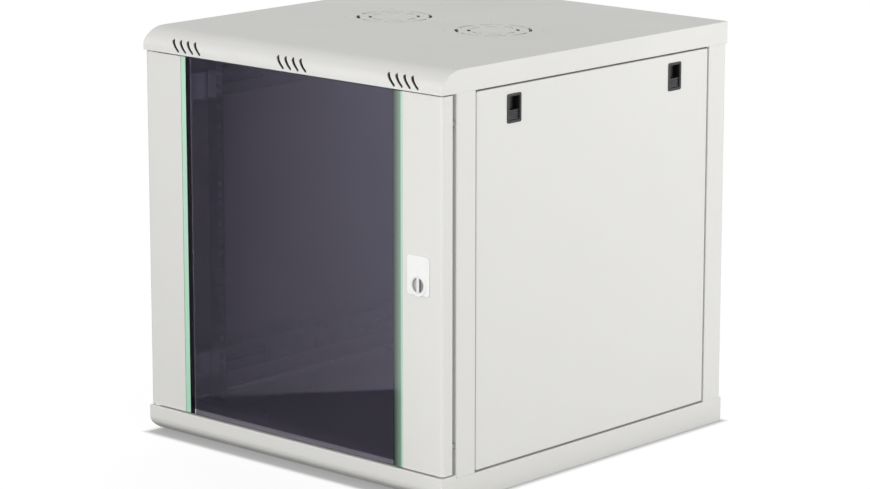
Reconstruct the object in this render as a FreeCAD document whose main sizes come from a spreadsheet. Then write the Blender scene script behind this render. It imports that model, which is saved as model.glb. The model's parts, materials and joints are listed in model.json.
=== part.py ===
import FreeCAD, Part
import math
import operator
import os
from collections import namedtuple
from types import SimpleNamespace

import Sketcher

# Wall-mount rack cabinet, twelve units high: a welded-look steel frame of roof, base and four posts,
# lift-off side panels on slide latches, a smoked glass door on corner pins and depth-adjustable rack rails.
# Frame of the part: +X to the right seen from the front, the door faces -Y, +Z up, origin at the middle of
# the footprint. Lengths are millimetres, angles degrees.

SIZES = {
    # carcass
    "frame_depth": 600.0,
    "side_room": 42.0,
    "nose_depth": 31.0,
    "rear_lip": 4.0,
    "roof_height": 33.0,
    "base_height": 38.0,
    "fascia_height": 43.0,
    "sheet": 1.5,
    "nose_run": 40.0,
    "nose_drop": 26.0,
    "nose_radius": 16.0,
    "front_rim": 45.0,
    "side_rim": 30.0,
    "rear_rim": 30.0,
    # vents and fan cut-outs in the roof
    "vent_count": 4.0,
    "vent_pitch": 15.0,
    "vent_group_offset": 217.0,
    "vent_width": 4.0,
    "vent_height": 18.0,
    "vent_slant": 15.0,
    "vent_drop": 21.0,
    "fan_offset": 100.0,
    "fan_pitch": 104.8,
    "fan_hole_radius": 2.25,
    "ring_outer_radius": 57.5,
    "ring_inner_radius": 39.0,
    "ring_slot": 5.0,
    "ring_bridge": 9.0,
    # corner posts
    "post_face": 30.0,
    "post_front_side": 38.0,
    "post_rear_side": 40.0,
    "post_radius": 2.5,
    "seat_lip": 14.0,
    # side panels
    "panel_setback": 1.0,
    "panel_depth": 14.0,
    "panel_sheet": 1.2,
    "panel_gap": 2.8,
    "panel_radius": 3.0,
    "tongue_width": 40.0,
    "tongue_inset": 60.0,
    "tongue_reach": 16.0,
    # slide latches in the side panels
    "latch_width": 30.0,
    "latch_height": 42.0,
    "latch_bezel": 1.0,
    "latch_flange": 2.0,
    "latch_wall": 2.0,
    "latch_back": 1.2,
    "latch_depth": 12.0,
    "latch_radius": 3.0,
    "latch_inset": 78.7,
    "latch_drop": 11.7,
    "latch_travel": 8.0,
    "slide_clearance": 0.3,
    "slider_plate": 2.5,
    "slider_pad": 14.0,
    "slider_recess": 0.5,
    "slider_groove": 1.6,
    "slider_groove_depth": 1.2,
    "bolt_width": 12.0,
    "bolt_slot_clearance": 1.0,
    # rear panel and cable entries
    "rear_sheet": 1.2,
    "rear_panel_inset": 10.0,
    "rear_panel_gap": 1.0,
    "wall_hole_spacing": 400.0,
    "wall_hole_radius": 5.0,
    "entry_width": 280.0,
    "entry_height": 70.0,
    "entry_inset": 45.0,
    "cover_sheet": 1.2,
    "cover_lap": 14.0,
    # depth rails
    "depth_rail_gap": 18.0,
    "depth_rail_height": 40.0,
    "depth_rail_inset": 59.5,
    "slot_clearance": 0.4,
    # rack rails
    "rack_units": 12.0,
    "rack_unit": 44.45,
    "rack_opening": 450.0,
    "rack_hole_inset": 7.55,
    "rack_clearance": 7.8,
    "rack_hole_first": 6.35,
    "rack_hole_step": 15.875,
    "rack_hole": 9.5,
    "rail_face": 33.0,
    "rail_sheet": 2.0,
    "rail_leg": 30.0,
    "rail_radius": 3.5,
    "rail_end": 5.0,
    "rail_setback": 60.0,
    "rail_travel": 100.0,
    # screws and nuts
    "screw_radius": 3.0,
    "screw_head_radius": 6.0,
    "screw_head": 2.4,
    "screw_clearance": 0.3,
    "nut_radius": 5.8,
    "nut_height": 5.0,
    "small_screw_radius": 2.0,
    "small_head_radius": 3.8,
    "small_head": 2.0,
    "rear_screw_offset": 72.0,
    "frame_screw_inset": 6.0,
    # earth stud on the base
    "stud_radius": 4.0,
    "stud_height": 22.0,
    "stud_flange_radius": 8.0,
    "stud_flange": 2.0,
    "stud_nut_radius": 7.5,
    "stud_nut": 6.5,
    "stud_side_offset": 190.0,
    "stud_front_offset": 110.0,
    # door
    "door_setback": 3.0,
    "door_thickness": 20.0,
    "door_gap": 2.0,
    "door_side_gap": 1.0,
    "stile_width": 76.0,
    "stile_radius": 6.0,
    "stile_lip": 12.0,
    "stile_ledge": 18.0,
    "glass_thickness": 5.0,
    "glass_edge_gap": 0.5,
    "tape_thickness": 1.0,
    "tape_width": 8.0,
    "tape_margin": 8.0,
    "bumper_radius": 5.0,
    "bumper_clearance": 0.3,
    "bumper_inset": 40.0,
    # hinge
    "pin_inset": 10.0,
    "pin_radius": 3.0,
    "pin_clearance": 0.05,
    "pin_engagement": 6.0,
    "pin_hold": 30.0,
    "bush_radius": 5.0,
    "bush_flange_radius": 8.0,
    "bush_clearance": 0.15,
    "bush_end_clearance": 0.2,
    "block_width": 13.0,
    "block_height": 40.0,
    "block_standoff": 4.0,
    # lock
    "lock_inset": 45.0,
    "lock_rise": 0.0,
    "plate_width": 42.0,
    "plate_low": 15.0,
    "plate_high": 42.0,
    "plate_sheet": 2.0,
    "plate_radius": 5.0,
    "barrel_radius": 14.5,
    "barrel_head_radius": 16.0,
    "barrel_length": 17.0,
    "plug_head_radius": 12.5,
    "plug_head": 5.5,
    "plug_shaft_radius": 7.0,
    "plug_clearance": 0.05,
    "plug_rim": 2.0,
    "plug_bar": 5.0,
    "plug_pocket": 4.0,
    "cam_sheet": 2.0,
    "cam_width": 16.0,
    "cam_reach": 31.0,
    "cam_gap": 0.8,
    "cam_stub_radius": 4.0,
    "lock_nut_radius": 20.0,
    "lock_nut": 5.0,
}

OPERATIONS = {"+": operator.add, "-": operator.sub, "*": operator.mul, "/": operator.truediv}
BEND = "bend"
RING_SLOTS = 8
CORNERS = ((-1, -1), (-1, 1), (1, -1), (1, 1))
Circle = namedtuple("Circle", "x y radius")
Arc = namedtuple("Arc", "radius turn")

# For each view: the origin plane, the sign of its normal along the axis that it looks down.
VIEWS = {"top": ("XY_Plane", 1), "front": ("XZ_Plane", -1), "side": ("YZ_Plane", 1)}

X_AXIS = FreeCAD.Vector(1, 0, 0)
Y_AXIS = FreeCAD.Vector(0, 1, 0)
Z_AXIS = FreeCAD.Vector(0, 0, 1)
UPRIGHT = FreeCAD.Rotation()
HALF_TURNS = {
    "x": FreeCAD.Rotation(X_AXIS, 180),
    "y": FreeCAD.Rotation(Y_AXIS, 180),
    "z": FreeCAD.Rotation(Z_AXIS, 180),
}
HEADINGS = {
    "+x": FreeCAD.Rotation(Y_AXIS, 90),
    "-x": FreeCAD.Rotation(Y_AXIS, -90),
    "+y": FreeCAD.Rotation(X_AXIS, -90),
    "-y": FreeCAD.Rotation(X_AXIS, 90),
    "+z": UPRIGHT,
    "-z": HALF_TURNS["x"],
}
OPPOSITE = {"+x": "-x", "-x": "+x", "+y": "-y", "-y": "+y", "+z": "-z", "-z": "+z"}


class Size:
    """A size of the model: its number, and the sheet expression that gives it."""

    def __init__(self, value, text):
        self.value = value
        self.text = text

    def __add__(self, other):
        return combine(self, "+", other)

    def __radd__(self, other):
        return combine(other, "+", self)

    def __sub__(self, other):
        return combine(self, "-", other)

    def __rsub__(self, other):
        return combine(other, "-", self)

    def __mul__(self, other):
        return combine(self, "*", other)

    def __rmul__(self, other):
        return combine(other, "*", self)

    def __truediv__(self, other):
        return combine(self, "/", other)

    def __neg__(self):
        return combine(0, "-", self)


def as_size(number):
    if isinstance(number, Size):
        return number
    return Size(float(number), f"({number})")


def combine(left, sign, right):
    left = as_size(left)
    right = as_size(right)
    value = OPERATIONS[sign](left.value, right.value)
    return Size(value, f"({left.text} {sign} {right.text})")


def root(size):
    return Size(math.sqrt(size.value), f"sqrt({size.text})")


def make_sheet(doc):
    """Writes the driving sizes into the sheet and hands them back as bound sizes."""
    sheet = doc.addObject("Spreadsheet::Sheet", "Sizes")
    for row, (name, number) in enumerate(SIZES.items(), start=1):
        sheet.set(f"A{row}", name)
        sheet.set(f"B{row}", str(number))
        sheet.setAlias(f"B{row}", name)
    doc.recompute()
    return SimpleNamespace(**{name: Size(float(sheet.get(name)), f"Sizes.{name}") for name in SIZES})


doc = FreeCAD.newDocument("RackCabinet")
dim = make_sheet(doc)
nodes = {}

# Planes that several pieces share
rail_outer = dim.rack_opening / 2 + dim.rail_face
half_width = rail_outer + dim.side_room
depth = dim.nose_depth + dim.frame_depth + dim.rear_lip
front = -depth / 2
rear = depth / 2
post_front = front + dim.nose_depth
post_rear = post_front + dim.frame_depth
frame_middle = post_front + dim.frame_depth / 2
opening_low = dim.base_height
opening_high = opening_low + dim.rack_units * dim.rack_unit + 2 * dim.rack_clearance
height = opening_high + dim.roof_height
opening_middle = (opening_low + opening_high) / 2

door_front = front + dim.door_setback
door_back = door_front + dim.door_thickness
door_low = dim.fascia_height + dim.door_gap
door_high = opening_high - dim.door_gap
door_middle = (door_low + door_high) / 2
door_half = (door_high - door_low) / 2
door_edge = half_width - dim.door_side_gap
stile_inner = door_edge - dim.stile_width
rebate = dim.glass_thickness + dim.tape_thickness
pin_x = -(door_edge - dim.pin_inset)
pin_y = door_front + dim.pin_inset
lock_x = door_edge - dim.lock_inset
lock_z = door_middle + dim.lock_rise

panel_face = half_width - dim.panel_setback
seat_depth = dim.panel_setback + dim.panel_depth
panel_front = post_front + dim.post_front_side + dim.panel_gap
panel_rear = post_rear - dim.post_rear_side - dim.panel_gap
panel_middle = (panel_front + panel_rear) / 2
panel_half_length = (panel_rear - panel_front) / 2
panel_half_height = (opening_high - opening_low) / 2 - dim.panel_gap
latch_offset = panel_half_length - dim.latch_inset
latch_level = panel_half_height - dim.latch_drop - dim.latch_height / 2
tub_half_width = dim.latch_width / 2 - dim.latch_flange
tub_half_height = dim.latch_height / 2 - dim.latch_flange
slider_back = dim.slide_clearance + dim.latch_back - dim.latch_depth
slider_face = slider_back + dim.slider_plate

rail_half = dim.rack_units * dim.rack_unit / 2 + dim.rail_end
rail_screw_depth = dim.rail_leg / 2
depth_rail_half = dim.frame_depth / 2 - dim.sheet
depth_rail_far = half_width - dim.depth_rail_gap
depth_rail_offset = (opening_high - opening_low) / 2 - dim.depth_rail_inset
frame_screw_x = depth_rail_far - dim.frame_screw_inset
screw_hole = dim.screw_radius + dim.screw_clearance


def bind(target, path, size):
    target.setExpression(path, as_size(size).text)


def keep(label, piece):
    """Registers a finished sub-part under its name."""
    piece.Label = label
    nodes[label] = piece
    return piece


def new_body(label):
    return keep(label, doc.addObject("PartDesign::Body", label))


def place(piece, x, y, z, rotation=UPRIGHT):
    """Stands a piece at a bound position, turned as a whole."""
    piece.Placement = FreeCAD.Placement(FreeCAD.Vector(), rotation)
    for axis, size in zip("xyz", (x, y, z)):
        bind(piece, f"Placement.Base.{axis}", size)
    return piece


def rectangle(low_x, high_x, low_y, high_y):
    return [(low_x, low_y), (high_x, low_y), (high_x, high_y), (low_x, high_y)]


def rounded_rectangle(low_x, high_x, low_y, high_y, radius):
    return [
        (low_x + radius, low_y),
        (high_x - radius, low_y),
        (high_x, low_y + radius, BEND),
        (high_x, high_y - radius),
        (high_x - radius, high_y, BEND),
        (low_x + radius, high_y),
        (low_x, high_y - radius, BEND),
        (low_x, low_y + radius),
        (low_x + radius, low_y, BEND),
    ]


def slot(x1, y1, x2, y2, radius):
    """Outline with round ends about the line between two points."""
    run = x2 - x1
    rise = y2 - y1
    length = root(run * run + rise * rise)
    side_x = rise / length * radius
    side_y = run / length * radius
    return [
        (x1 + side_x, y1 - side_y),
        (x2 + side_x, y2 - side_y),
        (x2 - side_x, y2 + side_y, BEND),
        (x1 - side_x, y1 + side_y),
        (x1 + side_x, y1 - side_y, BEND),
    ]


def straight_edge(start, end):
    edge = Part.LineSegment(FreeCAD.Vector(*start, 0), FreeCAD.Vector(*end, 0))
    length = math.dist(start, end)
    heading = ((end[0] - start[0]) / length, (end[1] - start[1]) / length)
    return edge, 1, 2, heading


def round_edge(start, end, centre, turn):
    """Arc from start to end; turn is 1 where it runs to the left and -1 to the right."""
    radius = math.dist(start, centre)
    circle = Part.Circle(FreeCAD.Vector(*centre, 0), Z_AXIS, radius)
    angles = [math.atan2(p[1] - centre[1], p[0] - centre[0]) for p in (start, end)]
    heading = (-turn * (end[1] - centre[1]) / radius, turn * (end[0] - centre[0]) / radius)
    if turn > 0:
        return Part.ArcOfCircle(circle, *angles), 1, 2, heading
    return Part.ArcOfCircle(circle, *reversed(angles)), 2, 1, heading


def bend_edge(start, end, heading):
    """Arc that leaves the start along a heading and reaches the end."""
    chord = (end[0] - start[0], end[1] - start[1])
    left = (-heading[1], heading[0])
    reach = (chord[0] ** 2 + chord[1] ** 2) / (2 * (chord[0] * left[0] + chord[1] * left[1]))
    centre = (start[0] + left[0] * reach, start[1] + left[1] * reach)
    return round_edge(start, end, centre, math.copysign(1, reach))


def arc_edge(start, end, arc):
    """Arc of a stated radius, the short way round."""
    chord = (end[0] - start[0], end[1] - start[1])
    half = math.hypot(*chord) / 2
    rise = math.sqrt(arc.radius.value ** 2 - half ** 2) * arc.turn / (2 * half)
    centre = ((start[0] + end[0]) / 2 - chord[1] * rise, (start[1] + end[1]) / 2 + chord[0] * rise)
    return round_edge(start, end, centre, arc.turn)


def draw_outline(sketch, corners, bound):
    """Adds a closed outline; a third entry in a corner says how the edge that ends there is bent."""
    sizes = [(as_size(corner[0]), as_size(corner[1])) for corner in corners]
    kinds = [corner[2] if len(corner) > 2 else None for corner in corners]
    points = [(x.value, y.value) for x, y in sizes]
    if math.dist(points[0], points[-1]) < 1e-9:
        points.pop()
        sizes.pop()
        kinds[0] = kinds.pop()
    count = len(points)
    edges = []
    heading = None
    for i in range(count):
        start = points[i]
        end = points[(i + 1) % count]
        kind = kinds[(i + 1) % count]
        if kind is None:
            edge, first, last, heading = straight_edge(start, end)
        elif kind == BEND:
            edge, first, last, heading = bend_edge(start, end, heading)
        else:
            edge, first, last, heading = arc_edge(start, end, kind)
        edges.append((sketch.addGeometry(edge), first, last, kind))
    for i, (index, first, last, kind) in enumerate(edges):
        before = edges[i - 1]
        joint = "Tangent" if kind == BEND else "Coincident"
        bound.append((Sketcher.Constraint(joint, before[0], before[2], index, first), None))
        bound.append((Sketcher.Constraint("DistanceX", -1, 1, index, first, points[i][0]), sizes[i][0]))
        bound.append((Sketcher.Constraint("DistanceY", -1, 1, index, first, points[i][1]), sizes[i][1]))
        if isinstance(kind, Arc):
            bound.append((Sketcher.Constraint("Radius", index, kind.radius.value), kind.radius))


def draw_circle(sketch, circle, bound):
    x, y, radius = (as_size(size) for size in circle)
    centre = FreeCAD.Vector(x.value, y.value, 0)
    index = sketch.addGeometry(Part.Circle(centre, Z_AXIS, radius.value))
    bound.append((Sketcher.Constraint("DistanceX", -1, 1, index, 3, x.value), x))
    bound.append((Sketcher.Constraint("DistanceY", -1, 1, index, 3, y.value), y))
    bound.append((Sketcher.Constraint("Radius", index, radius.value), radius))


def sketch_on(body, view, level, loops, origin=(0, 0)):
    """A sketch across one axis of its body at a bound level, every corner tied to the sheet."""
    role, sign = VIEWS[view]
    sketch = body.newObject("Sketcher::SketchObject", "Sketch")
    plane = next(feature for feature in body.Origin.OriginFeatures if feature.Role == role)
    sketch.AttachmentSupport = [(plane, "")]
    sketch.MapMode = "FlatFace"
    for axis, size in zip("xyz", (*origin, sign * level)):
        bind(sketch, f"AttachmentOffset.Base.{axis}", size)
    bound = []
    for loop in loops:
        if isinstance(loop, Circle):
            draw_circle(sketch, loop, bound)
        else:
            draw_outline(sketch, loop, bound)
    indices = sketch.addConstraint([constraint for constraint, _ in bound])
    for index, (_, size) in zip(indices, bound):
        if size is not None:
            bind(sketch, f"Constraints[{index}]", size)
    return sketch


def extrude(body, kind, view, low, high, loops, origin):
    """Pad or pocket that fills exactly the space between two levels."""
    sign = VIEWS[view][1]
    from_low = (sign > 0) == (kind == "Pad")
    sketch = sketch_on(body, view, as_size(low if from_low else high), loops, origin)
    feature = body.newObject("PartDesign::" + kind, kind)
    feature.Profile = sketch
    bind(feature, "Length", as_size(high) - low)
    return feature


def pad(body, view, low, high, loops, origin=(0, 0)):
    return extrude(body, "Pad", view, low, high, loops, origin)


def cut(body, view, low, high, loops, origin=(0, 0)):
    return extrude(body, "Pocket", view, low, high, loops, origin)


def revolve(body, corners):
    """Turned piece about the body's own Z axis from a half section of radius and level."""
    sketch = sketch_on(body, "front", as_size(0), [corners])
    feature = body.newObject("PartDesign::Revolution", "Revolution")
    feature.Profile = sketch
    feature.ReferenceAxis = (sketch, ["V_Axis"])
    feature.Angle = 360
    return feature


def rod(name, heading, seat, radius, length):
    """Round bar from a seat point along a heading."""
    bar = doc.addObject("Part::Cylinder", name)
    bind(bar, "Radius", radius)
    bind(bar, "Height", length)
    return place(bar, *seat, HEADINGS[heading])


def ring(name, heading, seat, radius, length, bore):
    """Round bar with a bore along it."""
    bar = doc.addObject("Part::Cut", name)
    bar.Base = rod(name + "_bar", heading, seat, radius, length)
    bar.Tool = rod(name + "_bore", heading, seat, bore, length)
    return bar


def hexagon_nut(name, heading, seat, radius, height, bore):
    blank = doc.addObject("Part::Prism", name + "_blank")
    blank.Polygon = 6
    bind(blank, "Circumradius", radius)
    bind(blank, "Height", height)
    place(blank, *seat, HEADINGS[heading])
    nut = doc.addObject("Part::Cut", name)
    nut.Base = blank
    nut.Tool = rod(name + "_bore", heading, seat, bore, height)
    return nut


def group(label, pieces):
    """Separate solids kept together under one name."""
    union = doc.addObject("Part::MultiFuse", label)
    union.Shapes = pieces
    return keep(label, union)


def screws(label, heading, seats, radius, length, head_radius, head_height):
    """Identical screws, each with its head on a seat point and its shank along the heading."""
    pieces = []
    for i, seat in enumerate(seats):
        pieces.append(rod(f"{label}_shank_{i}", heading, seat, radius, length))
        pieces.append(rod(f"{label}_head_{i}", OPPOSITE[heading], seat, head_radius, head_height))
    return pieces


def nose(front_y, level, run, drop, radius):
    """Two-centred curve from the outer face of a tray round to its vertical front."""
    large = ((run - radius) * (run - radius) + drop * drop - radius * radius) / (2 * (drop - radius))
    share = radius / (large - radius)
    join_y = front_y + radius - (run - radius) * share
    join_z = level + drop - (large - drop) * share
    return [(front_y + run, level), (join_y, join_z, BEND), (front_y, level + drop, BEND)]


def tray(label, wall, fascia_steps, inner_steps):
    """Roof or base: an upturned tray with a rounded nose, side walls and a rim turned inwards."""
    skin = dim.sheet
    body = new_body(label)
    outside = [(rear, 0)]
    outside += nose(front, 0, dim.nose_run, dim.nose_drop, dim.nose_radius)
    outside += fascia_steps + [(rear, wall)]
    pad(body, "side", -half_width, half_width, [outside])
    inside = [(rear - skin, skin)]
    inside += nose(front + skin, skin, dim.nose_run - skin, dim.nose_drop - skin, dim.nose_radius - skin)
    inside += inner_steps + [(rear - skin, wall - skin)]
    cut(body, "side", skin - half_width, half_width - skin, [inside])
    mouth_x = half_width - dim.side_rim
    mouth = rectangle(-mouth_x, mouth_x, post_front + dim.front_rim, rear - dim.rear_rim)
    cut(body, "top", wall - skin, wall, [mouth])
    return body


def fan_cut_out(body, centre_x):
    """Two rings of arc slots with bridges, and the four screw holes of a square fan."""
    half_bridge = dim.ring_bridge / 2
    half_step = math.pi / RING_SLOTS
    along = math.cos(half_step)
    across = math.sin(half_step)
    arcs = []
    for outer in (dim.ring_outer_radius, dim.ring_inner_radius):
        ends = []
        for radius in (outer - dim.ring_slot, outer):
            reach = root(radius * radius - half_bridge * half_bridge)
            ends.append((reach * along + half_bridge * across, reach * across - half_bridge * along))
        (inner_x, inner_y), (outer_x, outer_y) = ends
        arcs.append(
            [
                (inner_x, -inner_y),
                (outer_x, -outer_y),
                (outer_x, outer_y, Arc(outer, 1)),
                (inner_x, inner_y),
                (inner_x, -inner_y, Arc(outer - dim.ring_slot, -1)),
            ]
        )
    centre = (centre_x, frame_middle)
    pocket = cut(body, "top", 0, dim.sheet, arcs, centre)
    turned = body.newObject("PartDesign::PolarPattern", "PolarPattern")
    turned.Originals = [pocket]
    turned.Axis = (pocket.Profile[0], ["N_Axis"])
    turned.Angle = 360
    turned.Occurrences = RING_SLOTS
    body.Tip = turned
    half_pitch = dim.fan_pitch / 2
    holes = [Circle(sx * half_pitch, sy * half_pitch, dim.fan_hole_radius) for sx, sy in CORNERS]
    cut(body, "top", 0, dim.sheet, holes, centre)


def vents(body):
    """Three groups of slanted slots through the curved nose."""
    low = dim.vent_drop - dim.vent_height / 2 + dim.vent_width / 2
    high = dim.vent_drop + dim.vent_height / 2 - dim.vent_width / 2
    count = round(dim.vent_count.value)
    slots = []
    for side in (-1, 0, 1):
        for i in range(count):
            middle = side * dim.vent_group_offset + (i - (count - 1) / 2) * dim.vent_pitch
            slots.append(slot(middle, low, middle - dim.vent_slant, high, dim.vent_width / 2))
    cut(body, "front", front, post_front, slots)


def bolt_slots(level_low, level_high, sides, middle_y, body, face_x):
    """Clearance slots for the latch bolts through a flange."""
    room = dim.bolt_slot_clearance
    loops = []
    for side in sides:
        for end in (-1, 1):
            near = side * (face_x + slider_back - room)
            far = side * (face_x + slider_face + room)
            y = middle_y + end * latch_offset
            half = dim.bolt_width / 2 + room
            loops.append(rectangle(near, far, y - half, y + half))
    cut(body, "top", level_low, level_high, loops)


def make_roof():
    wall = dim.roof_height
    skin = dim.sheet
    body = tray("roof_panel", wall, [(front, wall)], [(front + skin, wall - skin)])
    for side in (-1, 1):
        fan_cut_out(body, side * dim.fan_offset)
    vents(body)
    bolt_slots(wall - skin, wall, (-1, 1), panel_middle, body, panel_face)
    cut(body, "top", wall - skin, wall, [Circle(-pin_x, pin_y, dim.bush_radius + dim.bush_clearance)])
    place(body, 0, 0, height, HALF_TURNS["y"])


def entry_loops(middle_x, low_y, screw_radius):
    """Cable entry with the holes of its cover, in the plane of the sheet."""
    half = dim.entry_width / 2
    lap = dim.cover_lap / 2
    middle_y = low_y + dim.entry_height / 2
    spread = dim.entry_height / 4
    holes = [Circle(middle_x + sx * (half + lap), middle_y + sy * spread, screw_radius) for sx, sy in CORNERS]
    return [rectangle(middle_x - half, middle_x + half, low_y, low_y + dim.entry_height)] + holes


def make_base():
    wall = dim.base_height
    lip = dim.fascia_height
    skin = dim.sheet
    outer_steps = [(front, lip), (post_front, lip), (post_front, wall)]
    inner_steps = [
        (front + skin, lip - skin),
        (post_front - skin, lip - skin),
        (post_front - skin, wall - skin),
    ]
    body = tray("base_panel", wall, outer_steps, inner_steps)
    cut(body, "top", lip - skin, lip, [Circle(pin_x, pin_y, dim.bush_radius + dim.bush_clearance)])
    hole = dim.small_screw_radius + dim.screw_clearance
    cut(body, "top", 0, skin, entry_loops(0, base_entry_low, hole))
    cut(body, "top", 0, skin, [Circle(-dim.stud_side_offset, stud_y, dim.stud_radius + dim.screw_clearance)])


base_entry_low = rear - dim.entry_inset - dim.entry_height
rear_entry_low = opening_low + dim.entry_inset
stud_y = post_front + dim.stud_front_offset


def make_posts():
    """Four formed posts: face flange, side wall and the stepped seat of the side panel."""
    ends = {"front": (post_front, dim.post_front_side), "rear": (post_rear, dim.post_rear_side)}
    turns = {
        ("front", "right"): UPRIGHT,
        ("front", "left"): HALF_TURNS["y"],
        ("rear", "right"): HALF_TURNS["x"],
        ("rear", "left"): HALF_TURNS["z"],
    }
    for (end, hand), turn in turns.items():
        face_y, side = ends[end]
        make_post(f"corner_post_{end}_{hand}", side, end == "rear", face_y, turn)


def make_post(label, side, carries_panel, face_y, turn):
    skin = dim.sheet
    bend = dim.post_radius
    seat = half_width - seat_depth
    body = new_body(label)
    section = [
        (half_width - dim.post_face, 0),
        (half_width - bend, 0),
        (half_width, bend, BEND),
        (half_width, side),
        (seat, side),
        (seat, side + dim.seat_lip),
        (seat - skin, side + dim.seat_lip),
        (seat - skin, side - skin),
        (half_width - skin, side - skin),
        (half_width - skin, bend),
        (half_width - bend, skin, BEND),
        (half_width - dim.post_face, skin),
    ]
    half = (opening_high - opening_low) / 2
    pad(body, "top", -half, half, [section])
    levels = [depth_rail_offset]
    if carries_panel:
        levels.append(dim.rear_screw_offset)
    holes = [Circle(frame_screw_x, sign * level, screw_hole) for level in levels for sign in (-1, 1)]
    cut(body, "front", 0, skin, holes)
    place(body, 0, face_y, opening_middle, turn)


def make_rear_panel():
    half_x = half_width - dim.rear_panel_inset
    half_z = (opening_high - opening_low) / 2 - dim.rear_panel_gap
    half_wall = dim.wall_hole_spacing / 2
    body = new_body("rear_panel")
    pad(body, "front", 0, dim.rear_sheet, [rectangle(-half_x, half_x, -half_z, half_z)])
    levels = (depth_rail_offset, dim.rear_screw_offset)
    loops = [Circle(sx * frame_screw_x, sz * z, screw_hole) for z in levels for sx, sz in CORNERS]
    loops += [Circle(sx * half_wall, sz * half_wall, dim.wall_hole_radius) for sx, sz in CORNERS]
    loops += entry_loops(0, rear_entry_low - opening_middle, dim.small_screw_radius + dim.screw_clearance)
    cut(body, "front", 0, dim.rear_sheet, loops)
    place(body, 0, post_rear, opening_middle)


def make_cable_covers():
    """Blanking plates over the cable entries, on the inside of the base and of the rear panel."""
    hole = dim.small_screw_radius + dim.screw_clearance
    half = dim.entry_width / 2 + dim.cover_lap
    outline = rectangle(-half, half, -dim.cover_lap, dim.entry_height + dim.cover_lap)
    for label, view in (("base_cable_cover", "top"), ("rear_cable_cover", "front")):
        body = new_body(label)
        pad(body, view, 0, dim.cover_sheet, [outline])
        cut(body, view, 0, dim.cover_sheet, entry_loops(0, as_size(0), hole)[1:])
    place(nodes["base_cable_cover"], 0, base_entry_low, dim.sheet)
    place(nodes["rear_cable_cover"], 0, post_rear - dim.cover_sheet, rear_entry_low)

    across = dim.entry_width / 2 + dim.cover_lap / 2
    middle = dim.entry_height / 2
    spread = dim.entry_height / 4
    inside = dim.sheet + dim.cover_sheet
    base_seats = [(sx * across, base_entry_low + middle + sy * spread, inside) for sx, sy in CORNERS]
    inside = post_rear - dim.cover_sheet
    rear_seats = [(sx * across, inside, rear_entry_low + middle + sz * spread) for sx, sz in CORNERS]
    small = (dim.small_screw_radius, dim.cover_sheet + dim.sheet / 2, dim.small_head_radius, dim.small_head)
    pieces = screws("base_cover_screw", "-z", base_seats, *small)
    pieces += screws("rear_cover_screw", "+y", rear_seats, *small)
    group("cover_screws", pieces)


def make_frame_screws():
    """Screws that hold the depth rails to the front posts, and the rear panel and rails to the rear posts."""
    shank = dim.sheet * 2
    size = (dim.screw_head_radius, dim.screw_head)
    seats = [(sx * frame_screw_x, post_front, opening_middle + sz * depth_rail_offset) for sx, sz in CORNERS]
    group("frame_screws", screws("frame_screw", "+y", seats, dim.screw_radius, shank, *size))
    levels = (depth_rail_offset, dim.rear_screw_offset)
    outside = post_rear + dim.rear_sheet
    seats = [(sx * frame_screw_x, outside, opening_middle + sz * z) for z in levels for sx, sz in CORNERS]
    length = shank + dim.rear_sheet
    group("rear_panel_screws", screws("rear_screw", "-y", seats, dim.screw_radius, length, *size))


def make_depth_rails():
    """Slotted channels between front and rear posts; the rack rails slide and clamp on them."""
    for height, sign in (("upper", 1), ("lower", -1)):
        for hand, turn in (("right", UPRIGHT), ("left", HALF_TURNS["z"])):
            body = new_body(f"depth_rail_{height}_{hand}")
            build_depth_rail(body)
            place(body, 0, frame_middle, opening_middle + sign * depth_rail_offset, turn)


def build_depth_rail(body):
    skin = dim.sheet
    far = depth_rail_far
    half_height = dim.depth_rail_height / 2
    channel = [
        (rail_outer, -half_height),
        (far, -half_height),
        (far, skin - half_height),
        (rail_outer + skin, skin - half_height),
        (rail_outer + skin, half_height - skin),
        (far, half_height - skin),
        (far, half_height),
        (rail_outer, half_height),
    ]
    pad(body, "front", -depth_rail_half, depth_rail_half, [channel])
    end_plate = rectangle(rail_outer, far, -half_height, half_height)
    pad(body, "front", -depth_rail_half, skin - depth_rail_half, [end_plate])
    pad(body, "front", depth_rail_half - skin, depth_rail_half, [end_plate])
    cut(body, "front", -depth_rail_half, depth_rail_half, [Circle(frame_screw_x, 0, screw_hole)])
    near = dim.frame_depth / 2 - dim.rail_setback - rail_screw_depth
    radius = dim.screw_radius + dim.slot_clearance
    slots = [slot(sign * near, 0, sign * (near - dim.rail_travel), as_size(0), radius) for sign in (-1, 1)]
    cut(body, "side", rail_outer, rail_outer + skin, slots)


def make_rack_rails():
    """Four identical angle rails with the square-hole pattern of the rack standard, turned into place."""
    turns = {
        ("front", "right"): (UPRIGHT, 1, 1),
        ("front", "left"): (HALF_TURNS["y"], -1, 1),
        ("rear", "right"): (HALF_TURNS["x"], 1, -1),
        ("rear", "left"): (HALF_TURNS["z"], -1, -1),
    }
    for (end, hand), (turn, side, inward) in turns.items():
        face_y = frame_middle - inward * (dim.frame_depth / 2 - dim.rail_setback)
        body = new_body(f"rack_rail_{end}_{hand}")
        build_rack_rail(body)
        place(body, 0, face_y, opening_middle, turn)
        make_rail_fasteners(f"{end}_{hand}", side, face_y + inward * rail_screw_depth)


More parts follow.
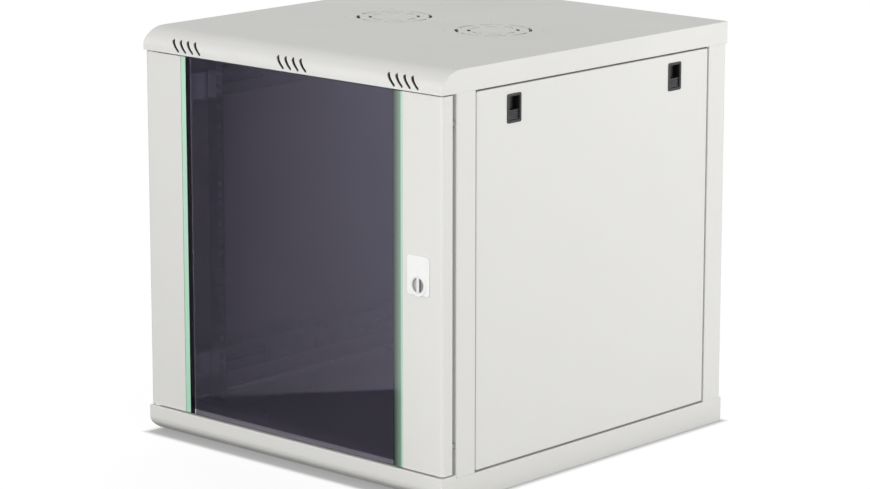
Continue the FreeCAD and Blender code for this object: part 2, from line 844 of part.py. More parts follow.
def build_rack_rail(body):
    skin = dim.rail_sheet
    bend = dim.rail_radius
    inner = dim.rack_opening / 2
    section = [
        (inner, 0),
        (rail_outer - bend, 0),
        (rail_outer, bend, BEND),
        (rail_outer, dim.rail_leg),
        (rail_outer - skin, dim.rail_leg),
        (rail_outer - skin, bend),
        (rail_outer - bend, skin, BEND),
        (inner, skin),
    ]
    pad(body, "top", -rail_half, rail_half, [section])
    holes = [Circle(rail_screw_depth, sign * depth_rail_offset, screw_hole) for sign in (-1, 1)]
    cut(body, "side", rail_outer - skin, rail_outer, holes)
    half_hole = dim.rack_hole / 2
    hole_x = inner + dim.rack_hole_inset
    first = dim.rack_hole_first - dim.rack_units * dim.rack_unit / 2
    squares = []
    for i in range(3):
        level = first + i * dim.rack_hole_step
        low = level - half_hole
        high = level + half_hole
        squares.append(rectangle(hole_x - half_hole, hole_x + half_hole, low, high))
    pocket = cut(body, "front", 0, skin, squares)
    units = body.newObject("PartDesign::LinearPattern", "LinearPattern")
    units.Originals = [pocket]
    units.Direction = (pocket.Profile[0], ["V_Axis"])
    units.Mode = "Spacing"
    bind(units, "Offset", dim.rack_unit)
    units.setExpression("Occurrences", f"round({dim.rack_units.text})")
    body.Tip = units


def make_rail_fasteners(place_name, side, screw_y):
    """The two clamp screws and nuts that travel with one rack rail."""
    heading = "+x" if side > 0 else "-x"
    inside = side * (rail_outer - dim.rail_sheet)
    outside = side * (rail_outer + dim.sheet)
    levels = [opening_middle + sign * depth_rail_offset for sign in (-1, 1)]
    length = dim.rail_sheet + dim.sheet + dim.nut_height
    seats = [(inside, screw_y, level) for level in levels]
    size = (dim.screw_radius, length, dim.screw_head_radius, dim.screw_head)
    group(f"rail_screws_{place_name}", screws(f"rail_screw_{place_name}", heading, seats, *size))
    nut_size = (dim.nut_radius, dim.nut_height, dim.screw_radius + dim.pin_clearance)
    nuts = []
    for i, level in enumerate(levels):
        seat = (outside, screw_y, level)
        nuts.append(hexagon_nut(f"rail_nut_{place_name}_{i}", heading, seat, *nut_size))
    group(f"rail_nuts_{place_name}", nuts)


def make_earth_stud():
    """Threaded stud with its nut on the base, for the earth lead."""
    body = new_body("earth_stud")
    flange_low = dim.sheet
    flange_high = dim.sheet + dim.stud_flange
    revolve(
        body,
        [
            (0, dim.sheet / 2),
            (dim.stud_radius, dim.sheet / 2),
            (dim.stud_radius, flange_low),
            (dim.stud_flange_radius, flange_low),
            (dim.stud_flange_radius, flange_high),
            (dim.stud_radius, flange_high),
            (dim.stud_radius, dim.stud_height),
            (0, dim.stud_height),
        ],
    )
    place(body, -dim.stud_side_offset, stud_y, 0)
    seat = (-dim.stud_side_offset, stud_y, flange_high)
    bore = dim.stud_radius + dim.pin_clearance
    keep("earth_nut", hexagon_nut("earth_nut", "+z", seat, dim.stud_nut_radius, dim.stud_nut, bore))


def make_side_panels():
    """Shallow pans that lift off outwards; two tongues stand on the base and two latches hold the top."""
    for hand, side, turn in (("right", 1, UPRIGHT), ("left", -1, HALF_TURNS["z"])):
        body = new_body(f"side_panel_{hand}")
        build_side_panel(body)
        place(body, side * panel_face, panel_middle, opening_middle, turn)
        for end, sign in (("front", -side), ("rear", side)):
            latch_y = panel_middle + side * sign * latch_offset
            spot = (side * panel_face, latch_y, opening_middle + latch_level)
            housing = new_body(f"latch_housing_{hand}_{end}")
            build_latch_housing(housing)
            place(housing, *spot, turn)
            slider = new_body(f"latch_slider_{hand}_{end}")
            build_latch_slider(slider)
            place(slider, *spot, turn)


def build_side_panel(body):
    skin = dim.panel_sheet
    y = panel_half_length
    z = panel_half_height
    pad(body, "side", -dim.panel_depth, 0, [rounded_rectangle(-y, y, -z, z, dim.panel_radius)])
    inside = rounded_rectangle(skin - y, y - skin, skin - z, z - skin, dim.panel_radius - skin)
    cut(body, "side", -dim.panel_depth, -skin, [inside])
    tongues = []
    openings = []
    for end in (-1, 1):
        middle = end * (y - dim.tongue_inset)
        half = dim.tongue_width / 2
        tongues.append(rectangle(-dim.panel_depth - dim.tongue_reach, -skin, middle - half, middle + half))
        latch_y = end * latch_offset
        room = dim.slide_clearance
        openings.append(
            rectangle(
                latch_y - tub_half_width - room,
                latch_y + tub_half_width + room,
                latch_level - tub_half_height - room,
                latch_level + tub_half_height + room,
            )
        )
    pad(body, "top", -z - dim.panel_gap, skin - z, tongues)
    cut(body, "side", -skin, 0, openings)
    bolt_slots(z - skin, z, (1,), as_size(0), body, as_size(0))


def build_latch_housing(body):
    """Moulded tub with a bezel, open to the front; its roof lets the bolt through."""
    half_y = dim.latch_width / 2
    half_z = dim.latch_height / 2
    inner_y = tub_half_width - dim.latch_wall
    inner_z = tub_half_height - dim.latch_wall
    bezel = rounded_rectangle(-half_y, half_y, -half_z, half_z, dim.latch_radius)
    pad(body, "side", 0, dim.latch_bezel, [bezel])
    tub = rectangle(-tub_half_width, tub_half_width, -tub_half_height, tub_half_height)
    pad(body, "side", -dim.latch_depth, 0, [tub])
    hollow = rectangle(-inner_y, inner_y, -inner_z, inner_z)
    cut(body, "side", dim.latch_back - dim.latch_depth, dim.latch_bezel, [hollow])
    room = dim.slide_clearance
    half_bolt = dim.bolt_width / 2 + room
    passage = rectangle(slider_back - room, slider_face + room, -half_bolt, half_bolt)
    cut(body, "top", inner_z, tub_half_height, [passage])


def build_latch_slider(body):
    """Thumb slide with its bolt, drawn at the lower end of its travel with the bolt withdrawn."""
    room = dim.slide_clearance
    half_y = tub_half_width - dim.latch_wall - room
    low = room + dim.latch_wall - tub_half_height
    pad_high = low + dim.slider_pad
    bolt_tip = dim.latch_height / 2 + dim.latch_drop - room
    pad(body, "side", slider_back, -dim.slider_recess, [rectangle(-half_y, half_y, low, pad_high)])
    half_bolt = dim.bolt_width / 2
    pad(body, "side", slider_back, slider_face, [rectangle(-half_bolt, half_bolt, low, bolt_tip)])
    pitch = dim.slider_pad / 4
    grooves = []
    for i in (1, 2, 3):
        level = low + i * pitch - dim.slider_groove / 2
        grooves.append(rectangle(-half_y, half_y, level, level + dim.slider_groove))
    cut(body, "side", -dim.slider_recess - dim.slider_groove_depth, -dim.slider_recess, grooves)


def make_stiles():
    """Formed door stiles: rounded outer edge, glass rebate with a ledge, closed ends."""
    for hand, turn in (("right", UPRIGHT), ("left", HALF_TURNS["y"])):
        body = new_body(f"door_stile_{hand}")
        build_stile(body)
        place(body, 0, door_front, door_middle, turn)
    hole = Circle(lock_x, lock_z - door_middle, dim.barrel_radius + dim.screw_clearance)
    cut(nodes["door_stile_right"], "front", 0, dim.sheet, [hole])
    pin_hole = [Circle(-pin_x, dim.pin_inset, dim.pin_radius + dim.screw_clearance)]
    cut(nodes["door_stile_left"], "top", -door_half, dim.sheet - door_half, pin_hole)
    cut(nodes["door_stile_left"], "top", door_half - dim.sheet, door_half, pin_hole)


def build_stile(body):
    skin = dim.sheet
    bend = dim.stile_radius
    back = dim.door_thickness
    section = [
        (door_edge - dim.stile_lip, back),
        (door_edge, back),
        (door_edge, bend),
        (door_edge - bend, 0, BEND),
        (stile_inner, 0),
        (stile_inner, rebate),
        (stile_inner - dim.stile_ledge, rebate),
        (stile_inner - dim.stile_ledge, rebate + skin),
        (stile_inner + skin, rebate + skin),
        (stile_inner + skin, skin),
        (door_edge - bend, skin),
        (door_edge - skin, bend, BEND),
        (door_edge - skin, back - skin),
        (door_edge - dim.stile_lip, back - skin),
    ]
    pad(body, "top", -door_half, door_half, [section])
    end_plate = [
        (stile_inner, back),
        (door_edge, back),
        (door_edge, bend),
        (door_edge - bend, 0, BEND),
        (stile_inner, 0),
    ]
    pad(body, "top", -door_half, skin - door_half, [end_plate])
    pad(body, "top", door_half - skin, door_half, [end_plate])


def make_glass():
    """Full-height pane bonded into the rebates of both stiles on two strips of tape."""
    half = stile_inner - dim.glass_edge_gap
    pane = new_body("door_glass")
    pad(pane, "top", -door_half, door_half, [rectangle(-half, half, 0, dim.glass_thickness)])
    place(pane, 0, door_front, door_middle)
    outer = half - dim.tape_margin
    inner = outer - dim.tape_width
    strips = []
    for hand, low, high in (("left", -outer, -inner), ("right", inner, outer)):
        strip = doc.addObject("Part::Box", f"tape_{hand}")
        bind(strip, "Length", high - low)
        bind(strip, "Width", dim.tape_thickness)
        bind(strip, "Height", 2 * door_half)
        strips.append(place(strip, low, door_front + dim.glass_thickness, door_low))
    group("glass_tapes", strips)


def make_hinge():
    """Corner pins held in blocks inside the left stile and running in flanged bushes of roof and base."""
    bore = dim.pin_radius + dim.pin_clearance
    flange = dim.door_gap - dim.bush_end_clearance
    pins = []
    bushes = []
    blocks = []
    levels = (("lower", dim.fascia_height, door_low, "+z", 1), ("upper", opening_high, door_high, "-z", -1))
    for name, rim, end, heading, sign in levels:
        tip = (pin_x, pin_y, rim - sign * dim.pin_engagement)
        length = dim.pin_engagement + dim.door_gap + dim.pin_hold
        pins.append(rod(f"hinge_pin_{name}", heading, tip, dim.pin_radius, length))
        seat = (pin_x, pin_y, rim)
        collar = ring(f"bush_flange_{name}", heading, seat, dim.bush_flange_radius, flange, bore)
        sleeve_size = (dim.bush_radius, dim.pin_engagement, bore)
        sleeve = ring(f"bush_sleeve_{name}", OPPOSITE[heading], seat, *sleeve_size)
        bushes += [collar, sleeve]
        blocks.append(make_hinge_block(name, end, heading, sign, bore))
    group("hinge_pins", pins)
    group("hinge_bushes", bushes)
    group("hinge_blocks", blocks)


def make_hinge_block(name, end, heading, sign, bore):
    inside = end + sign * dim.sheet
    box = doc.addObject("Part::Box", f"hinge_block_box_{name}")
    bind(box, "Length", dim.block_width)
    bind(box, "Width", dim.door_thickness - dim.sheet - dim.block_standoff)
    bind(box, "Height", dim.block_height)
    low = inside if sign > 0 else inside - dim.block_height
    place(box, pin_x - dim.block_width / 2, door_front + dim.block_standoff, low)
    block = doc.addObject("Part::Cut", f"hinge_block_{name}")
    block.Base = box
    block.Tool = rod(f"hinge_block_bore_{name}", heading, (pin_x, pin_y, inside), bore, dim.block_height)
    return block


def make_lock():
    """Quarter-turn lock: plate, barrel and ring nut on the door; plug, cam and nut turn together."""
    barrel_hole = dim.barrel_radius + dim.screw_clearance
    plate = new_body("lock_plate")
    half = dim.plate_width / 2
    outline = rounded_rectangle(-half, half, -dim.plate_low, dim.plate_high, dim.plate_radius)
    pad(plate, "front", -dim.plate_sheet, 0, [outline])
    cut(plate, "front", -dim.plate_sheet, 0, [Circle(0, 0, barrel_hole)])
    place(plate, lock_x, door_front, lock_z)

    # Turned pieces have their axis along Z; level 0 is the door's front face, Z points into the cabinet.
    inward = HEADINGS["+y"]
    head_face = -dim.door_setback
    pocket_floor = head_face + dim.plug_head + dim.slide_clearance
    head_bore = dim.plug_head_radius + dim.plug_clearance
    shaft_bore = dim.plug_shaft_radius + dim.plug_clearance
    barrel_end = head_face + dim.barrel_length
    barrel = new_body("lock_barrel")
    revolve(
        barrel,
        [
            (head_bore, head_face),
            (dim.barrel_head_radius, head_face),
            (dim.barrel_head_radius, -dim.plate_sheet),
            (dim.barrel_radius, -dim.plate_sheet),
            (dim.barrel_radius, barrel_end),
            (shaft_bore, barrel_end),
            (shaft_bore, pocket_floor),
            (head_bore, pocket_floor),
        ],
    )
    place(barrel, lock_x, door_front, lock_z, inward)

    cam_low = post_front + dim.sheet + dim.cam_gap - door_front
    cam_high = cam_low + dim.cam_sheet
    stub_end = cam_high + dim.nut_height
    plug = new_body("lock_plug")
    plug_face = head_face + dim.slide_clearance
    revolve(
        plug,
        [
            (0, plug_face),
            (dim.plug_head_radius, plug_face),
            (dim.plug_head_radius, pocket_floor),
            (dim.plug_shaft_radius, pocket_floor),
            (dim.plug_shaft_radius, cam_low),
            (dim.cam_stub_radius, cam_low),
            (dim.cam_stub_radius, stub_end),
            (0, stub_end),
        ],
    )
    half_bar = dim.plug_bar / 2
    dish = dim.plug_head_radius - dim.plug_rim
    dish_end = root(dish * dish - half_bar * half_bar)
    finger_pockets = [
        [(half_bar, -dish_end), (half_bar, dish_end), (half_bar, -dish_end, Arc(dish, -1))],
        [(-half_bar, dish_end), (-half_bar, -dish_end), (-half_bar, dish_end, Arc(dish, -1))],
    ]
    cut(plug, "top", plug_face, plug_face + dim.plug_pocket, finger_pockets)
    place(plug, lock_x, door_front, lock_z, inward)

    cam = new_body("lock_cam")
    half_cam = dim.cam_width / 2
    cam_outline = rounded_rectangle(-half_cam, half_cam, -dim.cam_reach, half_cam, half_cam / 2)
    pad(cam, "front", 0, dim.cam_sheet, [cam_outline])
    cut(cam, "front", 0, dim.cam_sheet, [Circle(0, 0, dim.cam_stub_radius + dim.pin_clearance)])
    place(cam, lock_x, door_front + cam_low, lock_z)

    stub_bore = dim.cam_stub_radius + dim.pin_clearance
    cam_seat = (lock_x, door_front + cam_high, lock_z)
    keep("cam_nut", hexagon_nut("cam_nut", "+y", cam_seat, dim.stud_nut_radius, dim.nut_height, stub_bore))
    nut_seat = (lock_x, door_front + dim.sheet, lock_z)
    nut_bore = dim.barrel_radius + dim.pin_clearance
    keep("lock_nut", hexagon_nut("lock_nut", "+y", nut_seat, dim.lock_nut_radius, dim.lock_nut, nut_bore))


def make_bumpers():
    """Rubber buffers on the right front post that the closed door comes up against."""
    length = post_front - door_back - dim.bumper_clearance
    x = door_edge - dim.stile_lip / 2
    pads = []
    for name, level in (("lower", door_low + dim.bumper_inset), ("upper", door_high - dim.bumper_inset)):
        seat = (x, post_front, level)
        pads.append(rod(f"bumper_{name}", "-y", seat, dim.bumper_radius, length))
    group("door_bumpers", pads)


def check_and_write():
    """Stops on any failed object or bad solid, then writes one file per sub-part."""
    doc.recompute()
    for item in doc.Objects:
        if "Invalid" in item.State or "Error" in item.State:
            raise RuntimeError(f"{item.Label} failed: {item.State} {item.getStatusString()}")
    for label, piece in nodes.items():
        shape = piece.Shape
        if shape.isNull() or not shape.isValid() or not shape.Solids:
            raise RuntimeError(f"{label} has no valid solid")
    os.makedirs("parts", exist_ok=True)
    for label, piece in nodes.items():
        piece.Shape.exportStep(os.path.join("parts", f"{label}.step"))
        print(f"{label}: {len(piece.Shape.Solids)} solid(s), {piece.Shape.Volume / 1000:.2f} cm3")


make_roof()
make_base()
make_posts()
make_rear_panel()
make_cable_covers()
make_depth_rails()
make_frame_screws()
make_rack_rails()
make_earth_stud()
make_side_panels()
make_stiles()
make_glass()
make_hinge()
make_lock()
make_bumpers()
check_and_write()
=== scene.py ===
import json
import math

import bmesh
import bpy
from bpy.props import FloatProperty, FloatVectorProperty, IntProperty, PointerProperty
from mathutils import Matrix, Vector


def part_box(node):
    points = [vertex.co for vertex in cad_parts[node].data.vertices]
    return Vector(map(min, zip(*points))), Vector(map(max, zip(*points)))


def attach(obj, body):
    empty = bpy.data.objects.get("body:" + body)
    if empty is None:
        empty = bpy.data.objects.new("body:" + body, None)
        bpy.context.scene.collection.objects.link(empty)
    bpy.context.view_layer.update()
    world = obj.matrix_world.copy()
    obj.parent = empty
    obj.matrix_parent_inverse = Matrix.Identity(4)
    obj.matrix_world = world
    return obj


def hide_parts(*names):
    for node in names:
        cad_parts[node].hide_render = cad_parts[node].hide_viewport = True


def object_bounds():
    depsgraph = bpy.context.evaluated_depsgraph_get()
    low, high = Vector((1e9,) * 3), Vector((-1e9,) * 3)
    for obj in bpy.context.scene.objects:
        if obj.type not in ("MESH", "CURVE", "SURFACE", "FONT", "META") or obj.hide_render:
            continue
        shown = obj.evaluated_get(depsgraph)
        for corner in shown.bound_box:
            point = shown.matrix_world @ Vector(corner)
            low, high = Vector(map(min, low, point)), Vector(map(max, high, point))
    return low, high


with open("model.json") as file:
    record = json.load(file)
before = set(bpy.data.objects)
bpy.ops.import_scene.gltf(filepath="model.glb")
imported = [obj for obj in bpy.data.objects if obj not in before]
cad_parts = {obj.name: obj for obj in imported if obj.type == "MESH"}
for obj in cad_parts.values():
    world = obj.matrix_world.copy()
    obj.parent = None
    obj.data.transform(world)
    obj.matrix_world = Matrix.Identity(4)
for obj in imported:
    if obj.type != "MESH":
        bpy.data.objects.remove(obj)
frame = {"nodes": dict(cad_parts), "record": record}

bl_info = {
    "name": "Rack cabinet dressing",
    "version": (1, 0, 0),
    "blender": (4, 5, 0),
    "location": "3D View > Sidebar > Rack cabinet",
    "description": "Rounds, details and finishes the pieces of a wall-mount rack cabinet and sets its studio",
    "category": "Object",
}

CAD_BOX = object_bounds()
MM = 0.001
UP = Vector((0, 0, 1))
FORWARD = Vector((0, -1, 0))
SLOT_OF = {row["node"]: row["material_slot"] for row in frame["record"]["subparts"]}
BODY_OF = {
    node: body
    for body, members in frame["record"]["behaviour"]["bodies"].items()
    for node in members
}
CORNERS = ("front_left", "front_right", "rear_left", "rear_right")
LATCHES = ("left_front", "left_rear", "right_front", "right_rear")
HANDS = ("left", "right")

# Distances within which points are one, or lie in one plane
CAD_WELD = 1e-6
SPUN_WELD = 1e-7
IN_PLANE = 1e-5

SHARP = math.radians(35)
THREAD_PLAY = 0.05 * MM

# Sockets of the Mix node when it mixes colours
MIX_AMOUNT = 0
MIX_FIRST = 6
MIX_SECOND = 7
MIX_RESULT = 2


class CabinetFinish(bpy.types.PropertyGroup):
    """Colours of the cabinet's finishes, as linear light."""

    paint: FloatVectorProperty(
        name="Paint", description="Powder coat on all sheet pieces", subtype="COLOR",
        default=(0.715, 0.71, 0.685), min=0.0, max=1.0)
    paint_mottle: FloatVectorProperty(
        name="Paint mottle", description="Darker tone that the powder coat drifts to", subtype="COLOR",
        default=(0.706, 0.701, 0.676), min=0.0, max=1.0)
    smoke: FloatVectorProperty(
        name="Smoke", description="Tint of the smoked pane", subtype="COLOR",
        default=(0.34, 0.325, 0.395), min=0.0, max=1.0)
    clear_edge: FloatVectorProperty(
        name="Clear edge", description="Tint of the pane along its lower edge", subtype="COLOR",
        default=(0.98, 0.94, 1.0), min=0.0, max=1.0)
    # Painted light: pale green glow on the opaque margins of the pane, standing in for light carried to the
    # pane's edges
    painted_edge_glow: FloatVectorProperty(
        name="Glass edge", description="Glowing margin of the pane", subtype="COLOR",
        default=(0.56, 0.83, 0.67), min=0.0, max=1.0)
    zinc: FloatVectorProperty(
        name="Zinc", description="Plated rails and brackets", subtype="COLOR",
        default=(0.60, 0.61, 0.62), min=0.0, max=1.0)
    fastener: FloatVectorProperty(
        name="Fastener", description="Plated screws, nuts and pins", subtype="COLOR",
        default=(0.66, 0.66, 0.64), min=0.0, max=1.0)
    black_plastic: FloatVectorProperty(
        name="Black plastic", description="Moulded latch parts", subtype="COLOR",
        default=(0.011, 0.011, 0.012), min=0.0, max=1.0)
    tape: FloatVectorProperty(
        name="Tape", description="Foam tape behind the pane", subtype="COLOR",
        default=(0.006, 0.006, 0.007), min=0.0, max=1.0)
    lock_bright: FloatVectorProperty(
        name="Lock plate", description="White plate and barrel of the lock", subtype="COLOR",
        default=(0.84, 0.84, 0.83), min=0.0, max=1.0)
    lock_face: FloatVectorProperty(
        name="Lock plug", description="Face and finger bar of the lock's plug", subtype="COLOR",
        default=(0.78, 0.78, 0.78), min=0.0, max=1.0)
    # Painted shade for the finger pocket of the lock's plug on the +X side
    lock_pocket_painted_shade: FloatVectorProperty(
        name="Lock pocket", description="Finger pocket in shade", subtype="COLOR",
        default=(0.28, 0.28, 0.28), min=0.0, max=1.0)
    nylon: FloatVectorProperty(
        name="Nylon", description="Hinge bushes", subtype="COLOR",
        default=(0.75, 0.74, 0.70), min=0.0, max=1.0)
    rubber: FloatVectorProperty(
        name="Rubber", description="Door buffers", subtype="COLOR",
        default=(0.3, 0.3, 0.29), min=0.0, max=1.0)


class CabinetDetail(bpy.types.PropertyGroup):
    """Sizes of the details that are added to the solids."""

    fold: FloatProperty(
        name="Fold radius", description="Outer radius where sheet is folded", unit="LENGTH", default=1.2 * MM)
    cut_edge: FloatProperty(
        name="Cut edge", description="Rounding of coated sheet edges", unit="LENGTH", default=0.25 * MM)
    moulded_edge: FloatProperty(
        name="Moulded edge", description="Rounding of moulded plastic", unit="LENGTH", default=0.4 * MM)
    arris: FloatProperty(
        name="Glass arris", description="Polished bevel of the pane", unit="LENGTH", default=0.7 * MM)
    hinge_margin: FloatProperty(
        name="Hinge margin", description="Pale margin of the pane beside the hinge", unit="LENGTH",
        default=10.0 * MM)
    lock_margin: FloatProperty(
        name="Lock margin", description="Green margin of the pane beside the lock", unit="LENGTH",
        default=18.0 * MM)
    tongue_shade: FloatProperty(
        name="Tongue shade", description="How far the front of the panels' foot tongues is set back",
        unit="LENGTH", default=9.0 * MM)
    thread_pitch: FloatProperty(
        name="Thread pitch", description="Pitch of the larger screws", unit="LENGTH", default=1.0 * MM)
    turned_steps: IntProperty(
        name="Turned steps", description="Segments round a turned piece", default=40, min=12, max=96)


class CabinetStage(bpy.types.PropertyGroup):
    """Camera and studio."""

    azimuth: FloatProperty(
        name="Azimuth", description="Camera round the cabinet from its front", subtype="ANGLE",
        default=math.radians(42.54))
    elevation: FloatProperty(
        name="Elevation", description="Camera above the horizon", subtype="ANGLE",
        default=math.radians(12.42))
    distance: FloatProperty(
        name="Distance", description="Camera to the point it looks at", unit="LENGTH", default=5.0864)
    lens: FloatProperty(name="Lens", description="Focal length", unit="CAMERA", default=139.3)
    target: FloatVectorProperty(
        name="Target", description="Point that the camera looks at", unit="LENGTH",
        default=(-0.0043, 0.0, 0.2834))
    horizon: FloatProperty(name="Horizon", description="Studio light near the horizon", default=0.95)
    zenith: FloatProperty(name="Zenith", description="Studio light from straight above", default=0.58)
    key: FloatProperty(name="Key", description="Soft box before the door", unit="POWER", default=128.0)
    key_place: FloatVectorProperty(
        name="Key place", description="Where the soft box before the door hangs", unit="LENGTH",
        default=(0.5, -5.5, 0.9))
    side: FloatProperty(
        name="Side", description="Soft box beside the right panel", unit="POWER", default=75.0)
    side_place: FloatVectorProperty(
        name="Side place", description="Where the soft box beside the right panel hangs", unit="LENGTH",
        default=(3.4, 2.9, 0.5))
    soft_box_width: FloatProperty(
        name="Soft box width", description="Width of both soft boxes", unit="LENGTH", default=2.2)
    soft_box_height: FloatProperty(
        name="Soft box height", description="Height of both soft boxes", unit="LENGTH", default=1.6)
    floor: FloatVectorProperty(
        name="Floor", description="Pale floor", subtype="COLOR", default=(0.9, 0.9, 0.9), min=0.0, max=1.0)


def detail():
    return bpy.context.scene.cabinet_detail


def take(piece):
    """Leaves one piece selected and active."""
    bpy.ops.object.select_all(action="DESELECT")
    piece.select_set(True)
    bpy.context.view_layer.objects.active = piece
    return piece


def apply_modifier(piece, kind, **settings):
    take(piece)
    modifier = piece.modifiers.new(kind.lower(), kind)
    for name, value in settings.items():
        setattr(modifier, name, value)
    bpy.ops.object.modifier_apply(modifier=modifier.name)


def smooth(piece, degrees=32):
    take(piece)
    bpy.ops.object.shade_smooth_by_angle(angle=math.radians(degrees))
    return piece


def carve(piece, cutter, operation="DIFFERENCE"):
    apply_modifier(piece, "BOOLEAN", object=cutter, operation=operation, solver="EXACT")
    bpy.data.objects.remove(cutter)
    return piece


def block(name, low, high):
    """Box between two corners, its place in its mesh."""
    bpy.ops.object.select_all(action="DESELECT")
    size = Vector(high) - Vector(low)
    bpy.ops.mesh.primitive_cube_add(size=1, location=(Vector(low) + Vector(high)) / 2, scale=size)
    piece = bpy.context.object
    piece.name = name
    bpy.ops.object.transform_apply(location=True, rotation=True, scale=True)
    return piece


def turned(name, profile):
    """Spins a half section of radius and height about the vertical axis."""
    bpy.ops.object.select_all(action="DESELECT")
    bpy.ops.mesh.primitive_plane_add(size=MM, location=(0, 0, 0))
    piece = bpy.context.object
    piece.name = name
    bpy.ops.object.mode_set(mode="EDIT")
    bpy.ops.mesh.select_mode(type="VERT")
    bpy.ops.mesh.select_all(action="SELECT")
    bpy.ops.mesh.merge(type="CENTER")
    bpy.ops.transform.translate(value=(profile[0][0], 0, profile[0][1]))
    for (r0, z0), (r1, z1) in zip(profile, profile[1:]):
        bpy.ops.mesh.extrude_vertices_move(TRANSFORM_OT_translate={"value": (r1 - r0, 0, z1 - z0)})
    bpy.ops.mesh.select_all(action="SELECT")
    bpy.ops.mesh.spin(steps=detail().turned_steps, angle=math.tau, center=(0, 0, 0), axis=UP)
    bpy.ops.mesh.select_all(action="SELECT")
    bpy.ops.mesh.remove_doubles(threshold=SPUN_WELD)
    bpy.ops.mesh.normals_make_consistent(inside=False)
    bpy.ops.object.mode_set(mode="OBJECT")
    return piece


def copy_of(master, name, matrix):
    """A copy with its own mesh, moved into place in that mesh."""
    piece = bpy.data.objects.new(name, master.data.copy())
    bpy.context.scene.collection.objects.link(piece)
    piece.data.transform(matrix)
    return piece


def join(name, pieces):
    bpy.ops.object.select_all(action="DESELECT")
    for piece in pieces:
        piece.select_set(True)
    bpy.context.view_layer.objects.active = pieces[0]
    bpy.ops.object.join()
    pieces[0].name = name
    return pieces[0]


def merged_copy(node, name):
    """A copy of a CAD solid with its triangles welded."""
    piece = copy_of(frame["nodes"][node], name, Matrix.Identity(4))
    take(piece)
    bpy.ops.mesh.customdata_custom_splitnormals_clear()
    bpy.ops.object.mode_set(mode="EDIT")
    bpy.ops.mesh.select_all(action="SELECT")
    bpy.ops.mesh.remove_doubles(threshold=CAD_WELD)
    bpy.ops.object.mode_set(mode="OBJECT")
    return piece


def solids_of(node):
    """Lowest and highest corner of each separate solid in a CAD node, sorted to a tenth of a millimetre."""
    mesh = bmesh.new()
    mesh.from_mesh(frame["nodes"][node].data)
    bmesh.ops.remove_doubles(mesh, verts=mesh.verts, dist=CAD_WELD)
    waiting = set(mesh.verts)
    boxes = []
    while waiting:
        front = [waiting.pop()]
        solid = []
        while front:
            vertex = front.pop()
            solid.append(vertex.co.copy())
            for edge in vertex.link_edges:
                other = edge.other_vert(vertex)
                if other in waiting:
                    waiting.remove(other)
                    front.append(other)
        low = Vector([min(point[i] for point in solid) for i in range(3)])
        high = Vector([max(point[i] for point in solid) for i in range(3)])
        boxes.append((low, high))
    mesh.free()
    return sorted(boxes, key=lambda box: tuple(round(value, 4) for value in box[0]))


def extent(box):
    return [high - low for low, high in zip(*box)]


def main_axis(direction):
    return max(range(3), key=lambda i: abs(direction[i]))


def face_middle(box, outward, depth=0.0):
    """Middle of the side of a box that looks outward, or of the level at some depth below that side."""
    low, high = box
    axis = main_axis(outward)
    middle = (low + high) / 2
    middle[axis] = high[axis] - depth if outward[axis] > 0 else low[axis] + depth
    return middle


def turn_to(direction):
    return UP.rotation_difference(Vector(direction)).to_matrix().to_4x4()


def round_edges(piece, width, folds=None, fold_width=None):
    """Rounds the sharp edges; those that the test takes for folds get the larger radius."""
    full = fold_width or width
    mesh = bmesh.new()
    mesh.from_mesh(piece.data)
    weight = mesh.edges.layers.float.new("bevel_weight_edge")
    for edge in mesh.edges:
        if len(edge.link_faces) == 2 and edge.calc_face_angle() > SHARP:
            is_fold = folds is not None and folds(edge.verts[0].co, edge.verts[1].co)
            edge[weight] = 1.0 if is_fold else width / full
    mesh.to_mesh(piece.data)
    mesh.free()
    apply_modifier(
        piece, "BEVEL", width=full, segments=3 if fold_width else 2, limit_method="WEIGHT",
        use_clamp_overlap=False, loop_slide=False)
    smooth(piece)
    apply_modifier(piece, "WEIGHTED_NORMAL", mode="FACE_AREA", keep_sharp=True)
    return piece


def hand_over(piece, *nodes, finish=None):
    """Gives a finished piece the finish of its first node's slot, or the finish named, puts it under its
    body, and hides the nodes that it stands for.
    """
    slot = SLOT_OF[nodes[0]]
    piece.data.materials.clear()
    piece.data.materials.append(bpy.data.materials[(finish or slot) + "_finish"])
    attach(piece, BODY_OF[nodes[0]])
    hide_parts(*nodes)
    return piece


def formed(node, width=None, folds=None):
    """Rounded copy of a formed sheet or moulded solid."""
    sizes = detail()
    piece = merged_copy(node, node + "_formed")
    round_edges(piece, width or sizes.cut_edge, folds, sizes.fold if folds else None)
    return hand_over(piece, node)


def both_near(axis, level):
    """Test for edges that lie in a plane across an axis, or in the plane mirrored to it."""
    def lies_there(a, b):
        return all(abs(abs(point[axis]) - level) < IN_PLANE for point in (a, b))

    return lies_there


# Finishes


def feed(tree, socket, value):
    """Sets a socket to a value, or links another node's output to it."""
    if isinstance(value, bpy.types.NodeSocket):
        tree.links.new(value, socket)
    else:
        socket.default_value = value


def add(tree, kind, **inputs):
    """Adds a node; its sockets are given by name, with underscores for blanks."""
    node = tree.nodes.new(kind)
    for name, value in inputs.items():
        feed(tree, node.inputs[name.replace("_", " ")], value)
    return node


def math_node(tree, operation, *values):
    node = tree.nodes.new("ShaderNodeMath")
    node.operation = operation
    for socket, value in zip(node.inputs, values):
        feed(tree, socket, value)
    return node.outputs[0]


def product(tree, first, *others):
    for other in others:
        first = math_node(tree, "MULTIPLY", first, other)
    return first


def blend_colour(tree, amount, first, second):
    node = tree.nodes.new("ShaderNodeMix")
    node.data_type = "RGBA"
    for socket, value in ((MIX_AMOUNT, amount), (MIX_FIRST, first), (MIX_SECOND, second)):
        feed(tree, node.inputs[socket], value)
    return node.outputs[MIX_RESULT]


